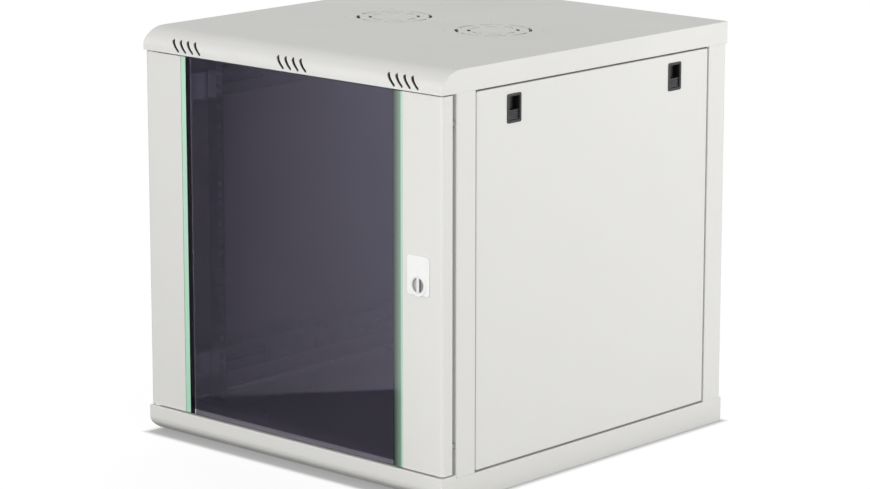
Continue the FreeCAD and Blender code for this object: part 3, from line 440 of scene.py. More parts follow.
def ranged(tree, value, start, end, at_start=0.0, at_end=1.0):
    """Maps the span between two levels to another span, and holds its ends beyond them."""
    node = add(
        tree, "ShaderNodeMapRange", Value=value, From_Min=start, From_Max=end, To_Min=at_start, To_Max=at_end)
    return node.outputs["Result"]


def own_place(tree):
    """Place in the object's own coordinates."""
    return tree.nodes.new("ShaderNodeTexCoord").outputs["Object"]


def part_of(tree, vector, axis):
    return add(tree, "ShaderNodeSeparateXYZ", Vector=vector).outputs[axis]


def along(tree, axis):
    """Place along one axis, in the object's own coordinates."""
    return part_of(tree, own_place(tree), axis)


def noise(tree, place, **settings):
    return add(tree, "ShaderNodeTexNoise", Vector=place, **settings).outputs["Fac"]


def rgba(colour, scale=1.0):
    return (*(channel * scale for channel in colour), 1.0)


def new_group(name, inputs, outputs):
    tree = bpy.data.node_groups.new(name, "ShaderNodeTree")
    for label, default in inputs:
        socket = tree.interface.new_socket(label, in_out="INPUT", socket_type="NodeSocketFloat")
        socket.default_value = default
    for label in outputs:
        tree.interface.new_socket(label, in_out="OUTPUT", socket_type="NodeSocketFloat")
    return tree, tree.nodes.new("NodeGroupInput").outputs, tree.nodes.new("NodeGroupOutput").inputs


def grain_group():
    """Fine moulded or sprayed texture: pimples, and a slow drift of tone."""
    tree, given, result = new_group("fine_grain", [("Scale", 1500.0), ("Drift", 5.0)], ["Height", "Tone"])
    place = own_place(tree)
    pimples = noise(tree, place, Scale=given["Scale"], Detail=2.0, Roughness=0.55)
    drift = noise(tree, place, Scale=given["Drift"], Detail=4.0, Roughness=0.5)
    feed(tree, result["Height"], pimples)
    feed(tree, result["Tone"], ranged(tree, drift, 0.35, 0.68))


def wear_group():
    """Mask along edges and folds, broken up so that only stretches are rubbed."""
    tree, given, result = new_group("edge_wear", [("Amount", 0.5), ("Break", 60.0)], ["Mask"])
    rounded = add(tree, "ShaderNodeBevel", Radius=1.2 * MM).outputs["Normal"]
    flat = tree.nodes.new("ShaderNodeNewGeometry").outputs["Normal"]
    likeness = tree.nodes.new("ShaderNodeVectorMath")
    likeness.operation = "DOT_PRODUCT"
    for socket, normal in zip(likeness.inputs, (rounded, flat)):
        feed(tree, socket, normal)
    edge = ranged(tree, likeness.outputs["Value"], 0.985, 0.9)
    patches = noise(tree, own_place(tree), Scale=given["Break"], Detail=3.0)
    broken = ranged(tree, patches, 0.45, 0.65)
    feed(tree, result["Mask"], product(tree, edge, broken, given["Amount"]))


def dust_group():
    """Mask of settled dust on faces that look up."""
    tree, given, result = new_group("settled_dust", [("Amount", 0.3), ("Scale", 9.0)], ["Mask"])
    normal = tree.nodes.new("ShaderNodeNewGeometry").outputs["Normal"]
    upward = ranged(tree, part_of(tree, normal, "Z"), 0.6, 1.0)
    drifts = noise(tree, own_place(tree), Scale=given["Scale"], Detail=5.0, Roughness=0.6)
    laid = ranged(tree, drifts, 0.4, 0.75)
    feed(tree, result["Mask"], product(tree, upward, laid, given["Amount"]))


def rolled_group():
    """Rolling marks drawn out along the height of a piece, with plating spangle across them."""
    tree, given, result = new_group("rolled_sheet", [("Scale", 900.0), ("Spangle", 90.0)], ["Height", "Tone"])
    place = own_place(tree)
    drawn = add(tree, "ShaderNodeMapping", Vector=place, Scale=(1.0, 1.0, 0.02)).outputs["Vector"]
    lines = noise(tree, drawn, Scale=given["Scale"], Detail=3.0)
    cells = add(tree, "ShaderNodeTexVoronoi", Vector=place, Scale=given["Spangle"])
    shade = add(tree, "ShaderNodeSeparateColor", Color=cells.outputs["Color"]).outputs["Red"]
    feed(tree, result["Height"], lines)
    feed(tree, result["Tone"], math_node(tree, "ADD", product(tree, shade, 0.6), product(tree, lines, 0.4)))


def place_group(tree, name, **values):
    node = tree.nodes.new("ShaderNodeGroup")
    node.node_tree = bpy.data.node_groups[name]
    for label, value in values.items():
        node.inputs[label].default_value = value
    return node.outputs


def new_material(slot, **constants):
    """Finish for a slot, with its constants on the shader's own sockets."""
    material = bpy.data.materials.new(slot + "_finish")
    material.use_nodes = True
    tree = material.node_tree
    shader = tree.nodes["Principled BSDF"]
    for label, value in constants.items():
        shader.inputs[label.replace("_", " ")].default_value = value
    return tree, shader


def wire(tree, shader, colour, roughness, height, bump, depth):
    """Links a finish to its shader, its height as a bump of the given strength and depth."""
    relief = add(tree, "ShaderNodeBump", Strength=bump, Distance=depth, Height=height)
    feed(tree, shader.inputs["Base Color"], colour)
    feed(tree, shader.inputs["Roughness"], roughness)
    feed(tree, shader.inputs["Normal"], relief.outputs["Normal"])


def powder_coat(slot, colour, mottle):
    tree, shader = new_material(slot, Specular_IOR_Level=0.45)
    grain = place_group(tree, "fine_grain", Scale=1400.0, Drift=4.0)
    worn = place_group(tree, "edge_wear", Amount=0.35, Break=45.0)["Mask"]
    dust = place_group(tree, "settled_dust", Amount=0.22, Scale=7.0)["Mask"]
    base = blend_colour(tree, grain["Tone"], rgba(colour), rgba(mottle))
    base = blend_colour(tree, worn, base, rgba(colour, 0.82))
    base = blend_colour(tree, dust, base, rgba(mottle, 0.86))
    rough = ranged(tree, grain["Tone"], 0.0, 1.0, 0.43, 0.48)
    wire(tree, shader, base, rough, grain["Height"], 0.12, 0.12 * MM)


def plated_steel(slot, colour, spangle):
    tree, shader = new_material(slot, Metallic=1.0)
    rolled = place_group(tree, "rolled_sheet", Scale=700.0, Spangle=spangle)
    worn = place_group(tree, "edge_wear", Amount=0.4, Break=80.0)["Mask"]
    base = blend_colour(tree, rolled["Tone"], rgba(colour, 0.86), rgba(colour, 1.08))
    base = blend_colour(tree, worn, base, rgba(colour, 1.2))
    rough = ranged(tree, rolled["Tone"], 0.1, 0.9, 0.26, 0.42)
    wire(tree, shader, base, rough, rolled["Height"], 0.08, 0.05 * MM)


def moulded_plastic(slot, colour, roughness, scale, shine=0.5):
    tree, shader = new_material(slot, Specular_IOR_Level=shine)
    grain = place_group(tree, "fine_grain", Scale=scale, Drift=30.0)
    worn = place_group(tree, "edge_wear", Amount=0.5, Break=120.0)["Mask"]
    base = blend_colour(tree, grain["Tone"], rgba(colour), rgba(colour, 1.35))
    base = blend_colour(tree, worn, base, rgba(colour, 2.2))
    rough = ranged(tree, grain["Tone"], 0.0, 1.0, roughness - 0.05, roughness + 0.07)
    wire(tree, shader, base, rough, grain["Height"], 0.25, 0.1 * MM)


def enamelled(slot, colour, roughness):
    tree, shader = new_material(slot)
    grain = place_group(tree, "fine_grain", Scale=2600.0, Drift=60.0)
    worn = place_group(tree, "edge_wear", Amount=0.3, Break=150.0)["Mask"]
    base = blend_colour(tree, grain["Tone"], rgba(colour, 0.985), rgba(colour, 1.01))
    base = blend_colour(tree, worn, base, rgba(colour, 1.06))
    rough = ranged(tree, grain["Tone"], 0.0, 1.0, roughness, roughness + 0.08)
    wire(tree, shader, base, rough, grain["Height"], 0.04, 0.04 * MM)


def lock_finger_plate(slot, face, shaded):
    """Plug with a pale face; its two finger pockets are painted with shade, darker in the one away from the
    light.
    """
    low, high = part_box("lock_plug")
    middle = (low.x + high.x) / 2
    rim = 0.1 * MM
    pocket_floor = 1.2 * MM
    half_change = 0.5 * MM
    tree, shader = new_material(slot)
    grain = place_group(tree, "fine_grain", Scale=2600.0, Drift=60.0)
    worn = place_group(tree, "edge_wear", Amount=0.3, Break=150.0)["Mask"]
    # Painted shade: the sunk finger pockets are coloured darker, the one on the -X side at 0.62 of the face
    # and the one on the +X side with the pocket shade colour.
    sunk = ranged(tree, along(tree, "Y"), low.y + rim, low.y + pocket_floor)
    side = ranged(tree, along(tree, "X"), middle - half_change, middle + half_change)
    pocket = blend_colour(tree, side, rgba(face, 0.62), rgba(shaded))
    base = blend_colour(tree, grain["Tone"], rgba(face, 0.96), rgba(face))
    base = blend_colour(tree, sunk, base, pocket)
    base = blend_colour(tree, worn, base, rgba(face, 1.04))
    rough = ranged(tree, grain["Tone"], 0.0, 1.0, 0.3, 0.38)
    wire(tree, shader, base, rough, grain["Height"], 0.04, 0.04 * MM)


def smoked_pane(slot, smoke, clear):
    """Smoked glass with a slow drift of its tint and faint wiping marks; its lowest edge is left clearer."""
    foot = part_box("door_glass")[0].z
    clear_below = 7.2 * MM
    smoked_above = 7.8 * MM
    mauve_shine = (0.79, 0.745, 1.0, 1.0)
    tree, shader = new_material(slot, Transmission_Weight=1.0, IOR=1.6, Specular_Tint=mauve_shine)
    grain = place_group(tree, "fine_grain", Scale=30.0, Drift=2.5)
    low = ranged(tree, along(tree, "Z"), foot + clear_below, foot + smoked_above, 1.0, 0.0)
    base = blend_colour(tree, grain["Tone"], rgba(smoke), rgba(smoke, 0.9))
    base = blend_colour(tree, low, base, rgba(clear))
    rough = ranged(tree, grain["Tone"], 0.0, 1.0, 0.0, 0.02)
    wire(tree, shader, base, rough, grain["Height"], 0.02, 0.01 * MM)


def glass_margin(name, colour):
    """Margins of the pane, painted with light: pale green at the edge, and on the lock side a band that runs
    from dark beside the tape through painted shade.
    """
    low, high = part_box("door_glass")
    deep_height = 255 * MM
    deep_tint = (0.68, 0.84, 0.75)
    inner_edge = high.x - detail().lock_margin
    teal_end = high.x - 2.5 * MM
    painted_shade_fade_start = high.x - 4 * MM
    painted_shade_fade_end = high.x - 1 * MM
    tree, shader = new_material(name, Coat_Weight=0.6, Coat_Roughness=0.02)
    grain = place_group(tree, "fine_grain", Scale=60.0, Drift=6.0)
    worn = place_group(tree, "edge_wear", Amount=0.4, Break=70.0)["Mask"]
    across = along(tree, "X")
    # Painted light: the pale green glow is dimmer on the lock side, and dimmer and more teal towards the
    # bottom.
    lock_side = math_node(tree, "GREATER_THAN", across, 0.0)
    deep = ranged(tree, along(tree, "Z"), low.z, low.z + deep_height, 0.85, 0.0)
    deep_colour = rgba([channel * tint for channel, tint in zip(colour, deep_tint)])
    base = blend_colour(tree, grain["Tone"], rgba(colour), rgba(colour, 0.9))
    base = blend_colour(tree, deep, base, deep_colour)
    base = blend_colour(tree, worn, base, rgba(colour, 1.15))
    base = blend_colour(tree, lock_side, base, rgba(colour, 0.86))
    # Painted shade on the lock side: near black at the inner edge beside the tape, lightening to teal towards
    # the pane's edge.
    lightening = ranged(tree, across, inner_edge, teal_end)
    teal = blend_colour(tree, lightening, rgba(colour, 0.012), rgba(colour, 0.40))
    tape_and_painted_shade = product(tree, ranged(tree, across, painted_shade_fade_start, painted_shade_fade_end, 1.0, 0.0), lock_side)
    base = blend_colour(tree, tape_and_painted_shade, base, teal)
    rough = ranged(tree, grain["Tone"], 0.0, 1.0, 0.1, 0.2)
    wire(tree, shader, base, rough, grain["Height"], 0.03, 0.02 * MM)


class CABINET_OT_finishes(bpy.types.Operator):
    """Makes the procedural finishes of all slots"""

    bl_idname = "cabinet.finishes"
    bl_label = "Finishes"

    def execute(self, context):
        colours = context.scene.cabinet_finish
        for build in (grain_group, wear_group, dust_group, rolled_group):
            build()
        powder_coat("cabinet_paint", colours.paint, colours.paint_mottle)
        plated_steel("zinc_rails", colours.zinc, spangle=55.0)
        plated_steel("zinc_fasteners", colours.fastener, spangle=260.0)
        moulded_plastic("latch_plastic", colours.black_plastic, roughness=0.42, scale=3200.0, shine=0.28)
        moulded_plastic("black_tape", colours.tape, roughness=0.6, scale=1800.0, shine=0.3)
        moulded_plastic("rubber_black", colours.rubber, roughness=0.7, scale=2200.0)
        moulded_plastic("nylon", colours.nylon, roughness=0.4, scale=2600.0)
        enamelled("lock_metal", colours.lock_bright, roughness=0.3)
        lock_finger_plate("lock_plug_metal", colours.lock_face, colours.lock_pocket_painted_shade)
        smoked_pane("smoked_glass", colours.smoke, colours.clear_edge)
        glass_margin("glass_margin", colours.painted_edge_glow)
        return {"FINISHED"}


# Pieces


class CABINET_OT_carcass(bpy.types.Operator):
    """Roof, base, posts, rear panel and cable covers as folded sheet"""

    bl_idname = "cabinet.carcass"
    bl_label = "Carcass"

    def execute(self, context):
        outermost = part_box("roof_panel")[1]
        roof_flange = 30 * MM
        at_side = both_near(0, outermost.x)

        def at_fold(a, b):
            return at_side(a, b) or min(a.y, b.y) > outermost.y - IN_PLANE

        def at_roof_fold(a, b):
            return at_fold(a, b) and max(a.z, b.z) > outermost.z - roof_flange

        formed("roof_panel", folds=at_roof_fold)
        formed("base_panel", folds=at_fold)
        for corner in CORNERS:
            formed(f"corner_post_{corner}")
        for node in ("rear_panel", "rear_cable_cover", "base_cable_cover"):
            formed(node)
        return {"FINISHED"}


class CABINET_OT_rails(bpy.types.Operator):
    """Depth rails and square-hole rack rails"""

    bl_idname = "cabinet.rails"
    bl_label = "Rails"

    def execute(self, context):
        for corner in CORNERS:
            formed(f"rack_rail_{corner}")
        for height in ("upper", "lower"):
            for hand in HANDS:
                formed(f"depth_rail_{height}_{hand}")
        return {"FINISHED"}


def thread(radius, top, bottom, pitch):
    """Half section of a thread from a top level down to a bottom level."""
    root = radius * 0.87
    turns = max(1, int((top - bottom) / pitch))
    step = (top - bottom) / turns
    profile = []
    for i in range(turns):
        level = top - i * step
        profile += [(radius, level - 0.1 * step), (root, level - 0.5 * step), (radius, level - 0.9 * step)]
    return profile


def cross_screw(name, radius, length, head_radius, head, pitch):
    """Pan-head screw with a cross recess; the head's seat is at height 0 and the head points up."""
    dome = [(0, 1), (0.45, 1), (0.72, 0.93), (0.9, 0.74), (0.98, 0.48), (1, 0.22), (1, 0)]
    profile = [(head_radius * r, head * z) for r, z in dome]
    profile += [(radius, 0)] + thread(radius, -0.1 * pitch, 0.2 * pitch - length, pitch)
    profile += [(radius * 0.75, -length), (0, -length)]
    screw = turned(name, profile)
    reach = head_radius * 0.56
    half = head_radius * 0.11
    depth = head * 0.62
    taper = 0.55
    for x, y in ((reach, half), (half, reach)):
        bar = block("recess", (-x, -y, head - depth), (x, y, head * 1.2))
        for vertex in bar.data.vertices:
            if vertex.co.z < head:
                vertex.co.x *= taper
                vertex.co.y *= taper
        carve(screw, bar)
    return smooth(screw, degrees=40)


def hexagon_nut(name, radius, height, bore):
    """Nut standing on height 0 with both ends chamfered and a threaded bore; a corner points along X."""
    bpy.ops.object.select_all(action="DESELECT")
    bpy.ops.mesh.primitive_cylinder_add(vertices=6, radius=radius, depth=height, location=(0, 0, height / 2))
    nut = bpy.context.object
    nut.name = name
    bpy.ops.object.transform_apply(location=True, rotation=True, scale=True)
    nut.data.transform(Matrix.Rotation(math.radians(30), 4, "Z"))
    flat = radius * 0.9
    rim = radius * 1.02
    drop = radius * 0.12
    blank = [(0, 0), (flat, 0), (rim, drop), (rim, height - drop), (flat, height), (0, height)]
    carve(nut, turned("chamfer", blank), "INTERSECT")
    mouth = bore * 1.12
    over = height * 0.2
    pitch = height / 5
    core = [(0, -over), (mouth, -over), (mouth, 0)]
    core += [(r, height - z) for r, z in thread(bore, height, 0, pitch)]
    core += [(mouth, height), (mouth, height + over), (0, height + over)]
    carve(nut, turned("bore", core))
    return smooth(nut, degrees=28)


def driven(i, first, step):
    """Turn at which a driven screw has stopped, in degrees that differ from screw to screw."""
    return Matrix.Rotation(math.radians(first + i * step), 4, "Z")


def fit_screws(node, outward, head, shank_radius, pitch):
    """Screws at every solid of a node, heads towards the given direction."""
    axis = main_axis(outward)
    across = 1 if axis == 0 else 0
    boxes = solids_of(node)
    size = extent(boxes[0])
    master = cross_screw("screw_master", shank_radius, size[axis] - head, size[across] / 2, head, pitch)
    copies = []
    for i, box in enumerate(boxes):
        seat = Matrix.Translation(face_middle(box, outward, head))
        place = seat @ turn_to(outward) @ driven(i, first=11, step=37)
        copies.append(copy_of(master, f"{node}_{i}", place))
    bpy.data.objects.remove(master)
    return join(node + "_cross_head", copies)


def fit_nuts(node, outward, bore):
    """Nuts at every solid of a node, their corners where the solid has its widest extent."""
    outward = Vector(outward)
    axis = main_axis(outward)
    boxes = solids_of(node)
    size = extent(boxes[0])
    wide = max((i for i in range(3) if i != axis), key=lambda i: size[i])
    corner = Vector([float(i == wide) for i in range(3)])
    turn = Matrix((corner, outward.cross(corner), outward)).transposed().to_4x4()
    master = hexagon_nut("nut_master", size[wide] / 2, size[axis], bore)
    copies = []
    for i, box in enumerate(boxes):
        seat = Matrix.Translation(face_middle(box, -outward))
        copies.append(copy_of(master, f"{node}_{i}", seat @ turn))
    bpy.data.objects.remove(master)
    return join(node + "_chamfered", copies)


class CABINET_OT_fasteners(bpy.types.Operator):
    """Cross-head screws and chamfered nuts"""

    bl_idname = "cabinet.fasteners"
    bl_label = "Screws and nuts"

    def execute(self, context):
        pitch = detail().thread_pitch
        fine_pitch = pitch * 0.7
        head = 2.4 * MM
        shank = 3.0 * MM
        hand_over(fit_screws("frame_screws", FORWARD, head, shank, pitch), "frame_screws")
        hand_over(fit_screws("rear_panel_screws", -FORWARD, head, shank, pitch), "rear_panel_screws")
        for corner in CORNERS:
            inward = -1 if corner.endswith("right") else 1
            screws = f"rail_screws_{corner}"
            hand_over(fit_screws(screws, (inward, 0, 0), head, shank, pitch), screws)
            nuts = f"rail_nuts_{corner}"
            hand_over(fit_nuts(nuts, (-inward, 0, 0), shank + THREAD_PLAY), nuts)
        self.cover_screws(fine_pitch)
        return {"FINISHED"}

    def cover_screws(self, pitch):
        """Smaller screws of the cable covers, which look forward at the rear and up at the base."""
        head = 2.0 * MM
        head_radius = 3.8 * MM
        shank = 2.0 * MM
        screws = []
        for i, box in enumerate(solids_of("cover_screws")):
            size = extent(box)
            axis = size.index(min(size))
            outward = UP if axis == 2 else FORWARD
            screw = cross_screw(f"cover_screw_{i}", shank, size[axis] - head, head_radius, head, pitch)
            seat = Matrix.Translation(face_middle(box, outward, head))
            screw.data.transform(seat @ turn_to(outward) @ driven(i, first=0, step=41))
            screws.append(screw)
        hand_over(join("cover_screws_cross_head", screws), "cover_screws")


class CABINET_OT_earth_stud(bpy.types.Operator):
    """Threaded earth stud with its flange and nut"""

    bl_idname = "cabinet.earth_stud"
    bl_label = "Earth stud"

    def execute(self, context):
        low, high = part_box("earth_stud")
        middle = (low + high) / 2
        radius = 4.0 * MM
        lead = 0.6 * MM
        lead_radius = radius * 0.78
        pitch = 1.25 * MM
        flange = (high.x - low.x) / 2
        flange_height = 2.0 * MM
        flange_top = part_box("earth_nut")[0].z
        flange_base = flange_top - flange_height
        soft = 0.4 * MM
        profile = [(0, high.z), (lead_radius, high.z)]
        profile += thread(radius, high.z - lead, flange_top, pitch)
        profile += [(radius, flange_top), (flange - soft, flange_top), (flange, flange_top - soft)]
        profile += [(flange, flange_base), (radius, flange_base), (radius, low.z), (0, low.z)]
        stud = turned("earth_stud_threaded", profile)
        stud.data.transform(Matrix.Translation((middle.x, middle.y, 0)))
        hand_over(smooth(stud, degrees=30), "earth_stud")
        hand_over(fit_nuts("earth_nut", UP, radius + THREAD_PLAY), "earth_nut")
        return {"FINISHED"}


class CABINET_OT_door(bpy.types.Operator):
    """Stiles, smoked pane and bonding tapes"""

    bl_idname = "cabinet.door"
    bl_label = "Door"

    def execute(self, context):
        stile_edge = 0.35 * MM
        tape_edge = 0.15 * MM
        for hand in HANDS:
            formed(f"door_stile_{hand}", stile_edge)
        self.pane()
        strips = []
        for i, (low, high) in enumerate(solids_of("glass_tapes")):
            strip = block(f"tape_{i}", low, high)
            apply_modifier(strip, "BEVEL", width=tape_edge, segments=2, limit_method="NONE")
            strips.append(strip)
        hand_over(smooth(join("tape_strips", strips)), "glass_tapes")
        return {"FINISHED"}

    def pane(self):
        """Smoked middle between two opaque margins, painted with a glow that stands in for the light carried
        to the pane's edges.
        """
        low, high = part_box("door_glass")
        joints = (low.x + detail().hinge_margin, high.x - detail().lock_margin)
        left, right = joints
        slit = 0.05 * MM
        middle = block("smoked_pane", (left + slit, low.y, low.z), (right - slit, high.y, high.z))
        hand_over(self.polished(middle, joints), "door_glass")
        lock_edge = block("pane_edges", (right, low.y, low.z), high)
        hinge_edge = block("pane_edge_left", low, (left, high.y, high.z))
        edges = [self.polished(edge, joints) for edge in (lock_edge, hinge_edge)]
        hand_over(join("pane_edges", edges), "door_glass", finish="glass_margin")

    def polished(self, pane, joints):
        """Arris along all edges but those at the joints between the pane's middle and margins."""
        near = 0.1 * MM
        mesh = bmesh.new()
        mesh.from_mesh(pane.data)
        weight = mesh.edges.layers.float.new("bevel_weight_edge")
        for edge in mesh.edges:
            at_joint = [min(abs(vertex.co.x - joint) for joint in joints) < near for vertex in edge.verts]
            edge[weight] = 0.0 if all(at_joint) else 1.0
        mesh.to_mesh(pane.data)
        mesh.free()
        apply_modifier(pane, "BEVEL", width=detail().arris, segments=2, limit_method="WEIGHT", profile=0.3)
        return smooth(pane, degrees=20)


class CABINET_OT_hinge(bpy.types.Operator):
    """Hinge pins, bushes, blocks and the door's rubber buffers"""

    bl_idname = "cabinet.hinge"
    bl_label = "Hinge and buffers"

    def execute(self, context):
        block_edge = 0.4 * MM
        formed("hinge_blocks", block_edge)
        self.pins()
        self.bushes()
        self.buffers()
        return {"FINISHED"}

    def pins(self):
        pins = []
        for i, (low, high) in enumerate(solids_of("hinge_pins")):
            radius = (high.x - low.x) / 2
            length = high.z - low.z
            taper = radius * 0.35
            profile = [(0, 0), (radius - taper, 0), (radius, taper), (radius, length - taper)]
            profile += [(radius - taper, length), (0, length)]
            pin = turned(f"hinge_pin_{i}", profile)
            pin.data.transform(Matrix.Translation(face_middle((low, high), -UP)))
            pins.append(smooth(pin, degrees=30))
        hand_over(join("hinge_pins_tapered", pins), "hinge_pins")

    def bushes(self):
        """Flanged bushes, their collars towards the middle of the door."""
        door_middle = (CAD_BOX[0].z + CAD_BOX[1].z) / 2
        bore = 3.05 * MM
        sleeve = 5.0 * MM
        collar = 1.8 * MM
        soft = 0.35 * MM
        bushes = []
        for i, (low, high) in enumerate(solids_of("hinge_bushes")):
            radius = (high.x - low.x) / 2
            length = high.z - low.z
            seat = length - collar
            profile = [(bore, 0), (sleeve - soft, 0), (sleeve, soft), (sleeve, seat), (radius, seat)]
            profile += [(radius, length - soft), (radius - soft, length), (bore + soft, length)]
            profile += [(bore, length - soft), (bore, 0)]
            bush = turned(f"hinge_bush_{i}", profile)
            outward = UP if (low.z + high.z) / 2 > door_middle else -UP
            if outward == UP:
                bush.data.transform(Matrix.Rotation(math.pi, 4, "X"))
            bush.data.transform(Matrix.Translation(face_middle((low, high), outward)))
            bushes.append(smooth(bush, degrees=30))
        hand_over(join("hinge_bushes_flanged", bushes), "hinge_bushes")

    def buffers(self):
        shape = [(0, 0), (1, 0), (1, 0.2), (0.86, 0.28), (0.8, 0.7), (0.68, 0.9), (0.4, 1), (0, 1)]
        buffers = []
        for i, (low, high) in enumerate(solids_of("door_bumpers")):
            radius = (high.x - low.x) / 2
            length = high.y - low.y
            buffer = turned(f"buffer_{i}", [(radius * r, length * z) for r, z in shape])
            seat = Matrix.Translation(face_middle((low, high), -FORWARD))
            buffer.data.transform(seat @ turn_to(FORWARD))
            buffers.append(smooth(buffer, degrees=40))
        hand_over(join("door_buffers", buffers), "door_bumpers")


class CABINET_OT_lock(bpy.types.Operator):
    """Lock plate, barrel, finger plug, cam and nuts"""

    bl_idname = "cabinet.lock"
    bl_label = "Lock"

    def execute(self, context):
        plate_edge = 0.6 * MM
        metal_edge = 0.3 * MM
        plug_end = 4.0 * MM
        barrel = 14.5 * MM
        formed("lock_plate", plate_edge)
        for node in ("lock_barrel", "lock_plug", "lock_cam"):
            formed(node, metal_edge)
        hand_over(fit_nuts("cam_nut", -FORWARD, plug_end + THREAD_PLAY), "cam_nut")
        hand_over(fit_nuts("lock_nut", -FORWARD, barrel + THREAD_PLAY), "lock_nut")
        return {"FINISHED"}


class CABINET_OT_side_panels(bpy.types.Operator):
    """Lift-off side panels with their slide latches"""

    bl_idname = "cabinet.side_panels"
    bl_label = "Side panels"

    def execute(self, context):
        sizes = detail()
        slider_edge = sizes.moulded_edge * 0.7
        for hand in HANDS:
            node = f"side_panel_{hand}"
            panel = merged_copy(node, node + "_formed")
            self.set_back_tongues(panel, node)
            round_edges(panel, sizes.cut_edge, self.rim_of(node), sizes.fold)
            hand_over(panel, node)
        for latch in LATCHES:
            formed(f"latch_housing_{latch}", sizes.moulded_edge)
            formed(f"latch_slider_{latch}", slider_edge)
        return {"FINISHED"}

    def face_of(self, node):
        """Distance of a panel's outer face from the middle of the cabinet."""
        low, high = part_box(node)
        return max(abs(low.x), abs(high.x))

    def rim_of(self, node):
        """Test for the folded edges round a panel's face, which leaves out those of the latch openings."""
        low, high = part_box(node)
        inset = 10 * MM
        above_tongues = 20 * MM
        at_face = both_near(0, self.face_of(node))

        def within(point):
            return (low.y + inset < point.y < high.y - inset
                    and low.z + above_tongues < point.z < high.z - inset)

        def at_rim(a, b):
            return at_face(a, b) and not within(a) and not within(b)

        return at_rim

    def set_back_tongues(self, panel, node):
        """Moves the front of the foot tongues in behind the panel's face, into the shade of the gap."""
        low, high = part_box(node)
        face = self.face_of(node)
        inward = -1 if high.x > 0 else 1
        front, back = 0.5 * MM, 2 * MM
        tongue_top = low.z + 3 * MM
        take(panel)
        bpy.ops.object.mode_set(mode="EDIT")
        bpy.ops.mesh.select_mode(type="VERT")
        bpy.ops.mesh.select_all(action="DESELECT")
        bpy.ops.object.mode_set(mode="OBJECT")
        for vertex in panel.data.vertices:
            vertex.select = front < face - abs(vertex.co.x) < back and vertex.co.z < tongue_top
        bpy.ops.object.mode_set(mode="EDIT")
        bpy.ops.transform.translate(value=(inward * detail().tongue_shade, 0, 0))
        bpy.ops.object.mode_set(mode="OBJECT")


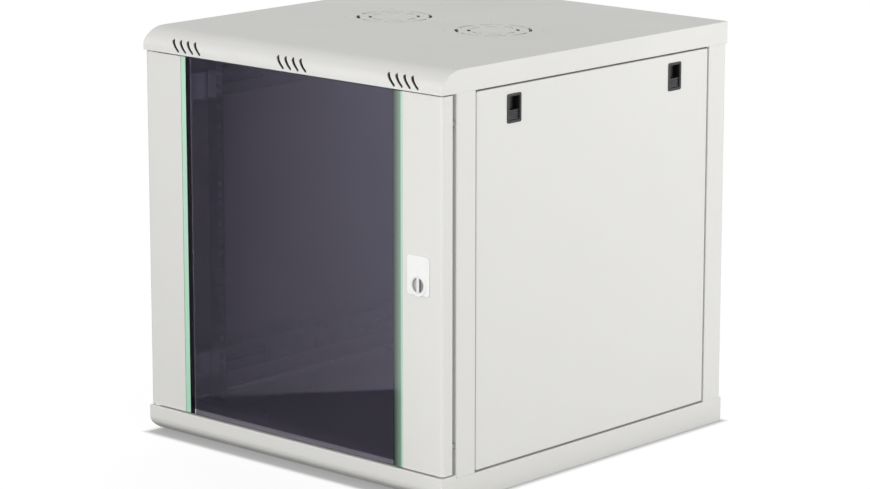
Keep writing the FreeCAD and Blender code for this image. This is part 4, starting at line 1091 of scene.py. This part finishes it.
class CABINET_OT_stage(bpy.types.Operator):
    """Pale floor, soft studio light and the camera"""

    bl_idname = "cabinet.stage"
    bl_label = "Stage"

    def execute(self, context):
        settings = context.scene.cabinet_stage
        self.floor(settings)
        self.sky(context.scene, settings)
        self.soft_box("key_light", settings.key, settings.key_place, settings)
        self.soft_box("side_light", settings.side, settings.side_place, settings)
        self.camera(context.scene, settings)
        context.scene.view_settings.view_transform = "Standard"
        return {"FINISHED"}

    def floor(self, settings):
        width = 40.0
        bpy.ops.object.select_all(action="DESELECT")
        bpy.ops.mesh.primitive_plane_add(size=width, location=(0, 0, CAD_BOX[0].z))
        floor = bpy.context.object
        floor.name = "studio_floor"
        floor.data.materials.append(self.floor_finish(settings.floor))

    def floor_finish(self, colour):
        """Floor that looks near white itself, and throws less light on the cabinet's front than beside it."""
        side_start = CAD_BOX[1].x - 20 * MM
        side_end = CAD_BOX[1].x + 40 * MM
        front_bounce = 0.17
        side_bounce = 0.92
        own_level = 1.14
        own_share = 0.72
        material = bpy.data.materials.new("studio_floor")
        material.use_nodes = True
        tree = material.node_tree
        ray = tree.nodes.new("ShaderNodeLightPath").outputs
        seen = math_node(tree, "MAXIMUM", ray["Is Camera Ray"], ray["Is Transmission Ray"])
        mirrored = ray["Is Glossy Ray"]
        beside = ranged(tree, along(tree, "X"), side_start, side_end)
        bounced = blend_colour(tree, beside, rgba(colour, front_bounce), rgba(colour, side_bounce))
        base = blend_colour(tree, ray["Is Diffuse Ray"], rgba(colour), bounced)
        coat = tree.nodes["Principled BSDF"]
        feed(tree, coat.inputs["Base Color"], base)
        feed(tree, coat.inputs["Roughness"], 0.6)
        own = product(tree, seen, self.painted_contact_shade(tree), own_level)
        reflected = product(tree, mirrored, self.mirrored_floor(tree))
        strength = math_node(tree, "ADD", own, reflected)
        glow = add(tree, "ShaderNodeEmission", Color=rgba((1, 1, 1)), Strength=strength)
        share = math_node(tree, "MAXIMUM", product(tree, seen, own_share), mirrored)
        mix = tree.nodes.new("ShaderNodeMixShader")
        for socket, value in zip(mix.inputs, (share, coat.outputs[0], glow.outputs[0])):
            feed(tree, socket, value)
        feed(tree, tree.nodes["Material Output"].inputs["Surface"], mix.outputs[0])
        return material

    def painted_contact_shade(self, tree):
        """Narrow painted shade on the floor's own glow where the base meets the floor."""
        width = 12 * MM
        darkest = 0.35
        beyond = [
            math_node(tree, "SUBTRACT", math_node(tree, "ABSOLUTE", along(tree, axis)), CAD_BOX[1][i])
            for i, axis in enumerate("XY")
        ]
        return ranged(tree, math_node(tree, "MAXIMUM", *beyond), 0.0, width, darkest, 1.0)

    def mirrored_floor(self, tree):
        """Brightness of the floor in shiny surfaces; it falls off to the left and is dark before the door."""
        left_end, left_level = 0.1, 0.13
        right_end, right_level = 0.66, 1.08
        shade_start, shade_end, shade_level = -0.781, -0.806, 0.08
        shade_slant = 0.8
        side_start, side_end, side_level = CAD_BOX[1].x, CAD_BOX[1].x + 100 * MM, 0.9
        x = along(tree, "X")
        y = along(tree, "Y")
        across = ranged(
            tree, math_node(tree, "SUBTRACT", x, y), left_end, right_end, left_level, right_level)
        slanted = math_node(tree, "ADD", x, product(tree, y, shade_slant))
        near = ranged(tree, slanted, shade_end, shade_start, 1.0, shade_level)
        beside = ranged(tree, x, side_start, side_end, 0.0, side_level)
        return math_node(tree, "MAXIMUM", product(tree, across, near), beside)

    def sky(self, scene, settings):
        world = bpy.data.worlds.new("studio")
        scene.world = world
        world.use_nodes = True
        tree = world.node_tree
        direction = tree.nodes.new("ShaderNodeTexCoord").outputs["Generated"]
        level = ranged(tree, part_of(tree, direction, "Z"), 0.0, 1.0, settings.horizon, settings.zenith)
        ray = tree.nodes.new("ShaderNodeLightPath").outputs
        background = tree.nodes["Background"].inputs
        feed(tree, background["Strength"], math_node(tree, "MAXIMUM", level, ray["Is Camera Ray"]))
        feed(tree, background["Color"], rgba((1, 1, 1)))

    def soft_box(self, name, energy, location, settings):
        lamp = bpy.data.lights.new(name, "AREA")
        lamp.shape = "RECTANGLE"
        lamp.size = settings.soft_box_width
        lamp.size_y = settings.soft_box_height
        lamp.energy = energy
        place = bpy.data.objects.new(name, lamp)
        bpy.context.scene.collection.objects.link(place)
        place.location = location
        aim = Vector(settings.target) - place.location
        place.rotation_euler = aim.to_track_quat("-Z", "Y").to_euler()

    def camera(self, scene, settings):
        camera = bpy.data.objects.new("camera", bpy.data.cameras.new("camera"))
        scene.collection.objects.link(camera)
        full_frame = 36.0
        farthest = 100.0
        camera.data.lens = settings.lens
        camera.data.sensor_width = full_frame
        camera.data.clip_end = farthest
        flat = math.cos(settings.elevation)
        back = Vector((
            math.sin(settings.azimuth) * flat,
            -math.cos(settings.azimuth) * flat,
            math.sin(settings.elevation),
        ))
        camera.location = Vector(settings.target) + back * settings.distance
        camera.rotation_euler = (-back).to_track_quat("-Z", "Y").to_euler()
        scene.camera = camera


class CABINET_PT_sidebar(bpy.types.Panel):
    """Lists the cabinet's steps and settings"""

    bl_idname = "CABINET_PT_sidebar"
    bl_label = "Rack cabinet"
    bl_space_type = "VIEW_3D"
    bl_region_type = "UI"
    bl_category = "Rack cabinet"

    def draw(self, context):
        layout = self.layout
        for step in STEPS:
            layout.operator(step.bl_idname)
        for group in SETTINGS:
            settings = getattr(context.scene, group)
            for name in settings.__annotations__:
                layout.prop(settings, name)


STEPS = (
    CABINET_OT_finishes,
    CABINET_OT_carcass,
    CABINET_OT_rails,
    CABINET_OT_fasteners,
    CABINET_OT_earth_stud,
    CABINET_OT_door,
    CABINET_OT_hinge,
    CABINET_OT_lock,
    CABINET_OT_side_panels,
    CABINET_OT_stage,
)
SETTINGS = {
    "cabinet_finish": CabinetFinish,
    "cabinet_detail": CabinetDetail,
    "cabinet_stage": CabinetStage,
}


def register():
    for kind in (*SETTINGS.values(), *STEPS, CABINET_PT_sidebar):
        bpy.utils.register_class(kind)
    for name, kind in SETTINGS.items():
        setattr(bpy.types.Scene, name, PointerProperty(type=kind))


def unregister():
    for name in SETTINGS:
        delattr(bpy.types.Scene, name)
    for kind in (CABINET_PT_sidebar, *reversed(STEPS), *SETTINGS.values()):
        bpy.utils.unregister_class(kind)


def main():
    register()
    for step in STEPS:
        getattr(bpy.ops.cabinet, step.bl_idname.split(".")[1])()


if __name__ == "__main__":
    main()
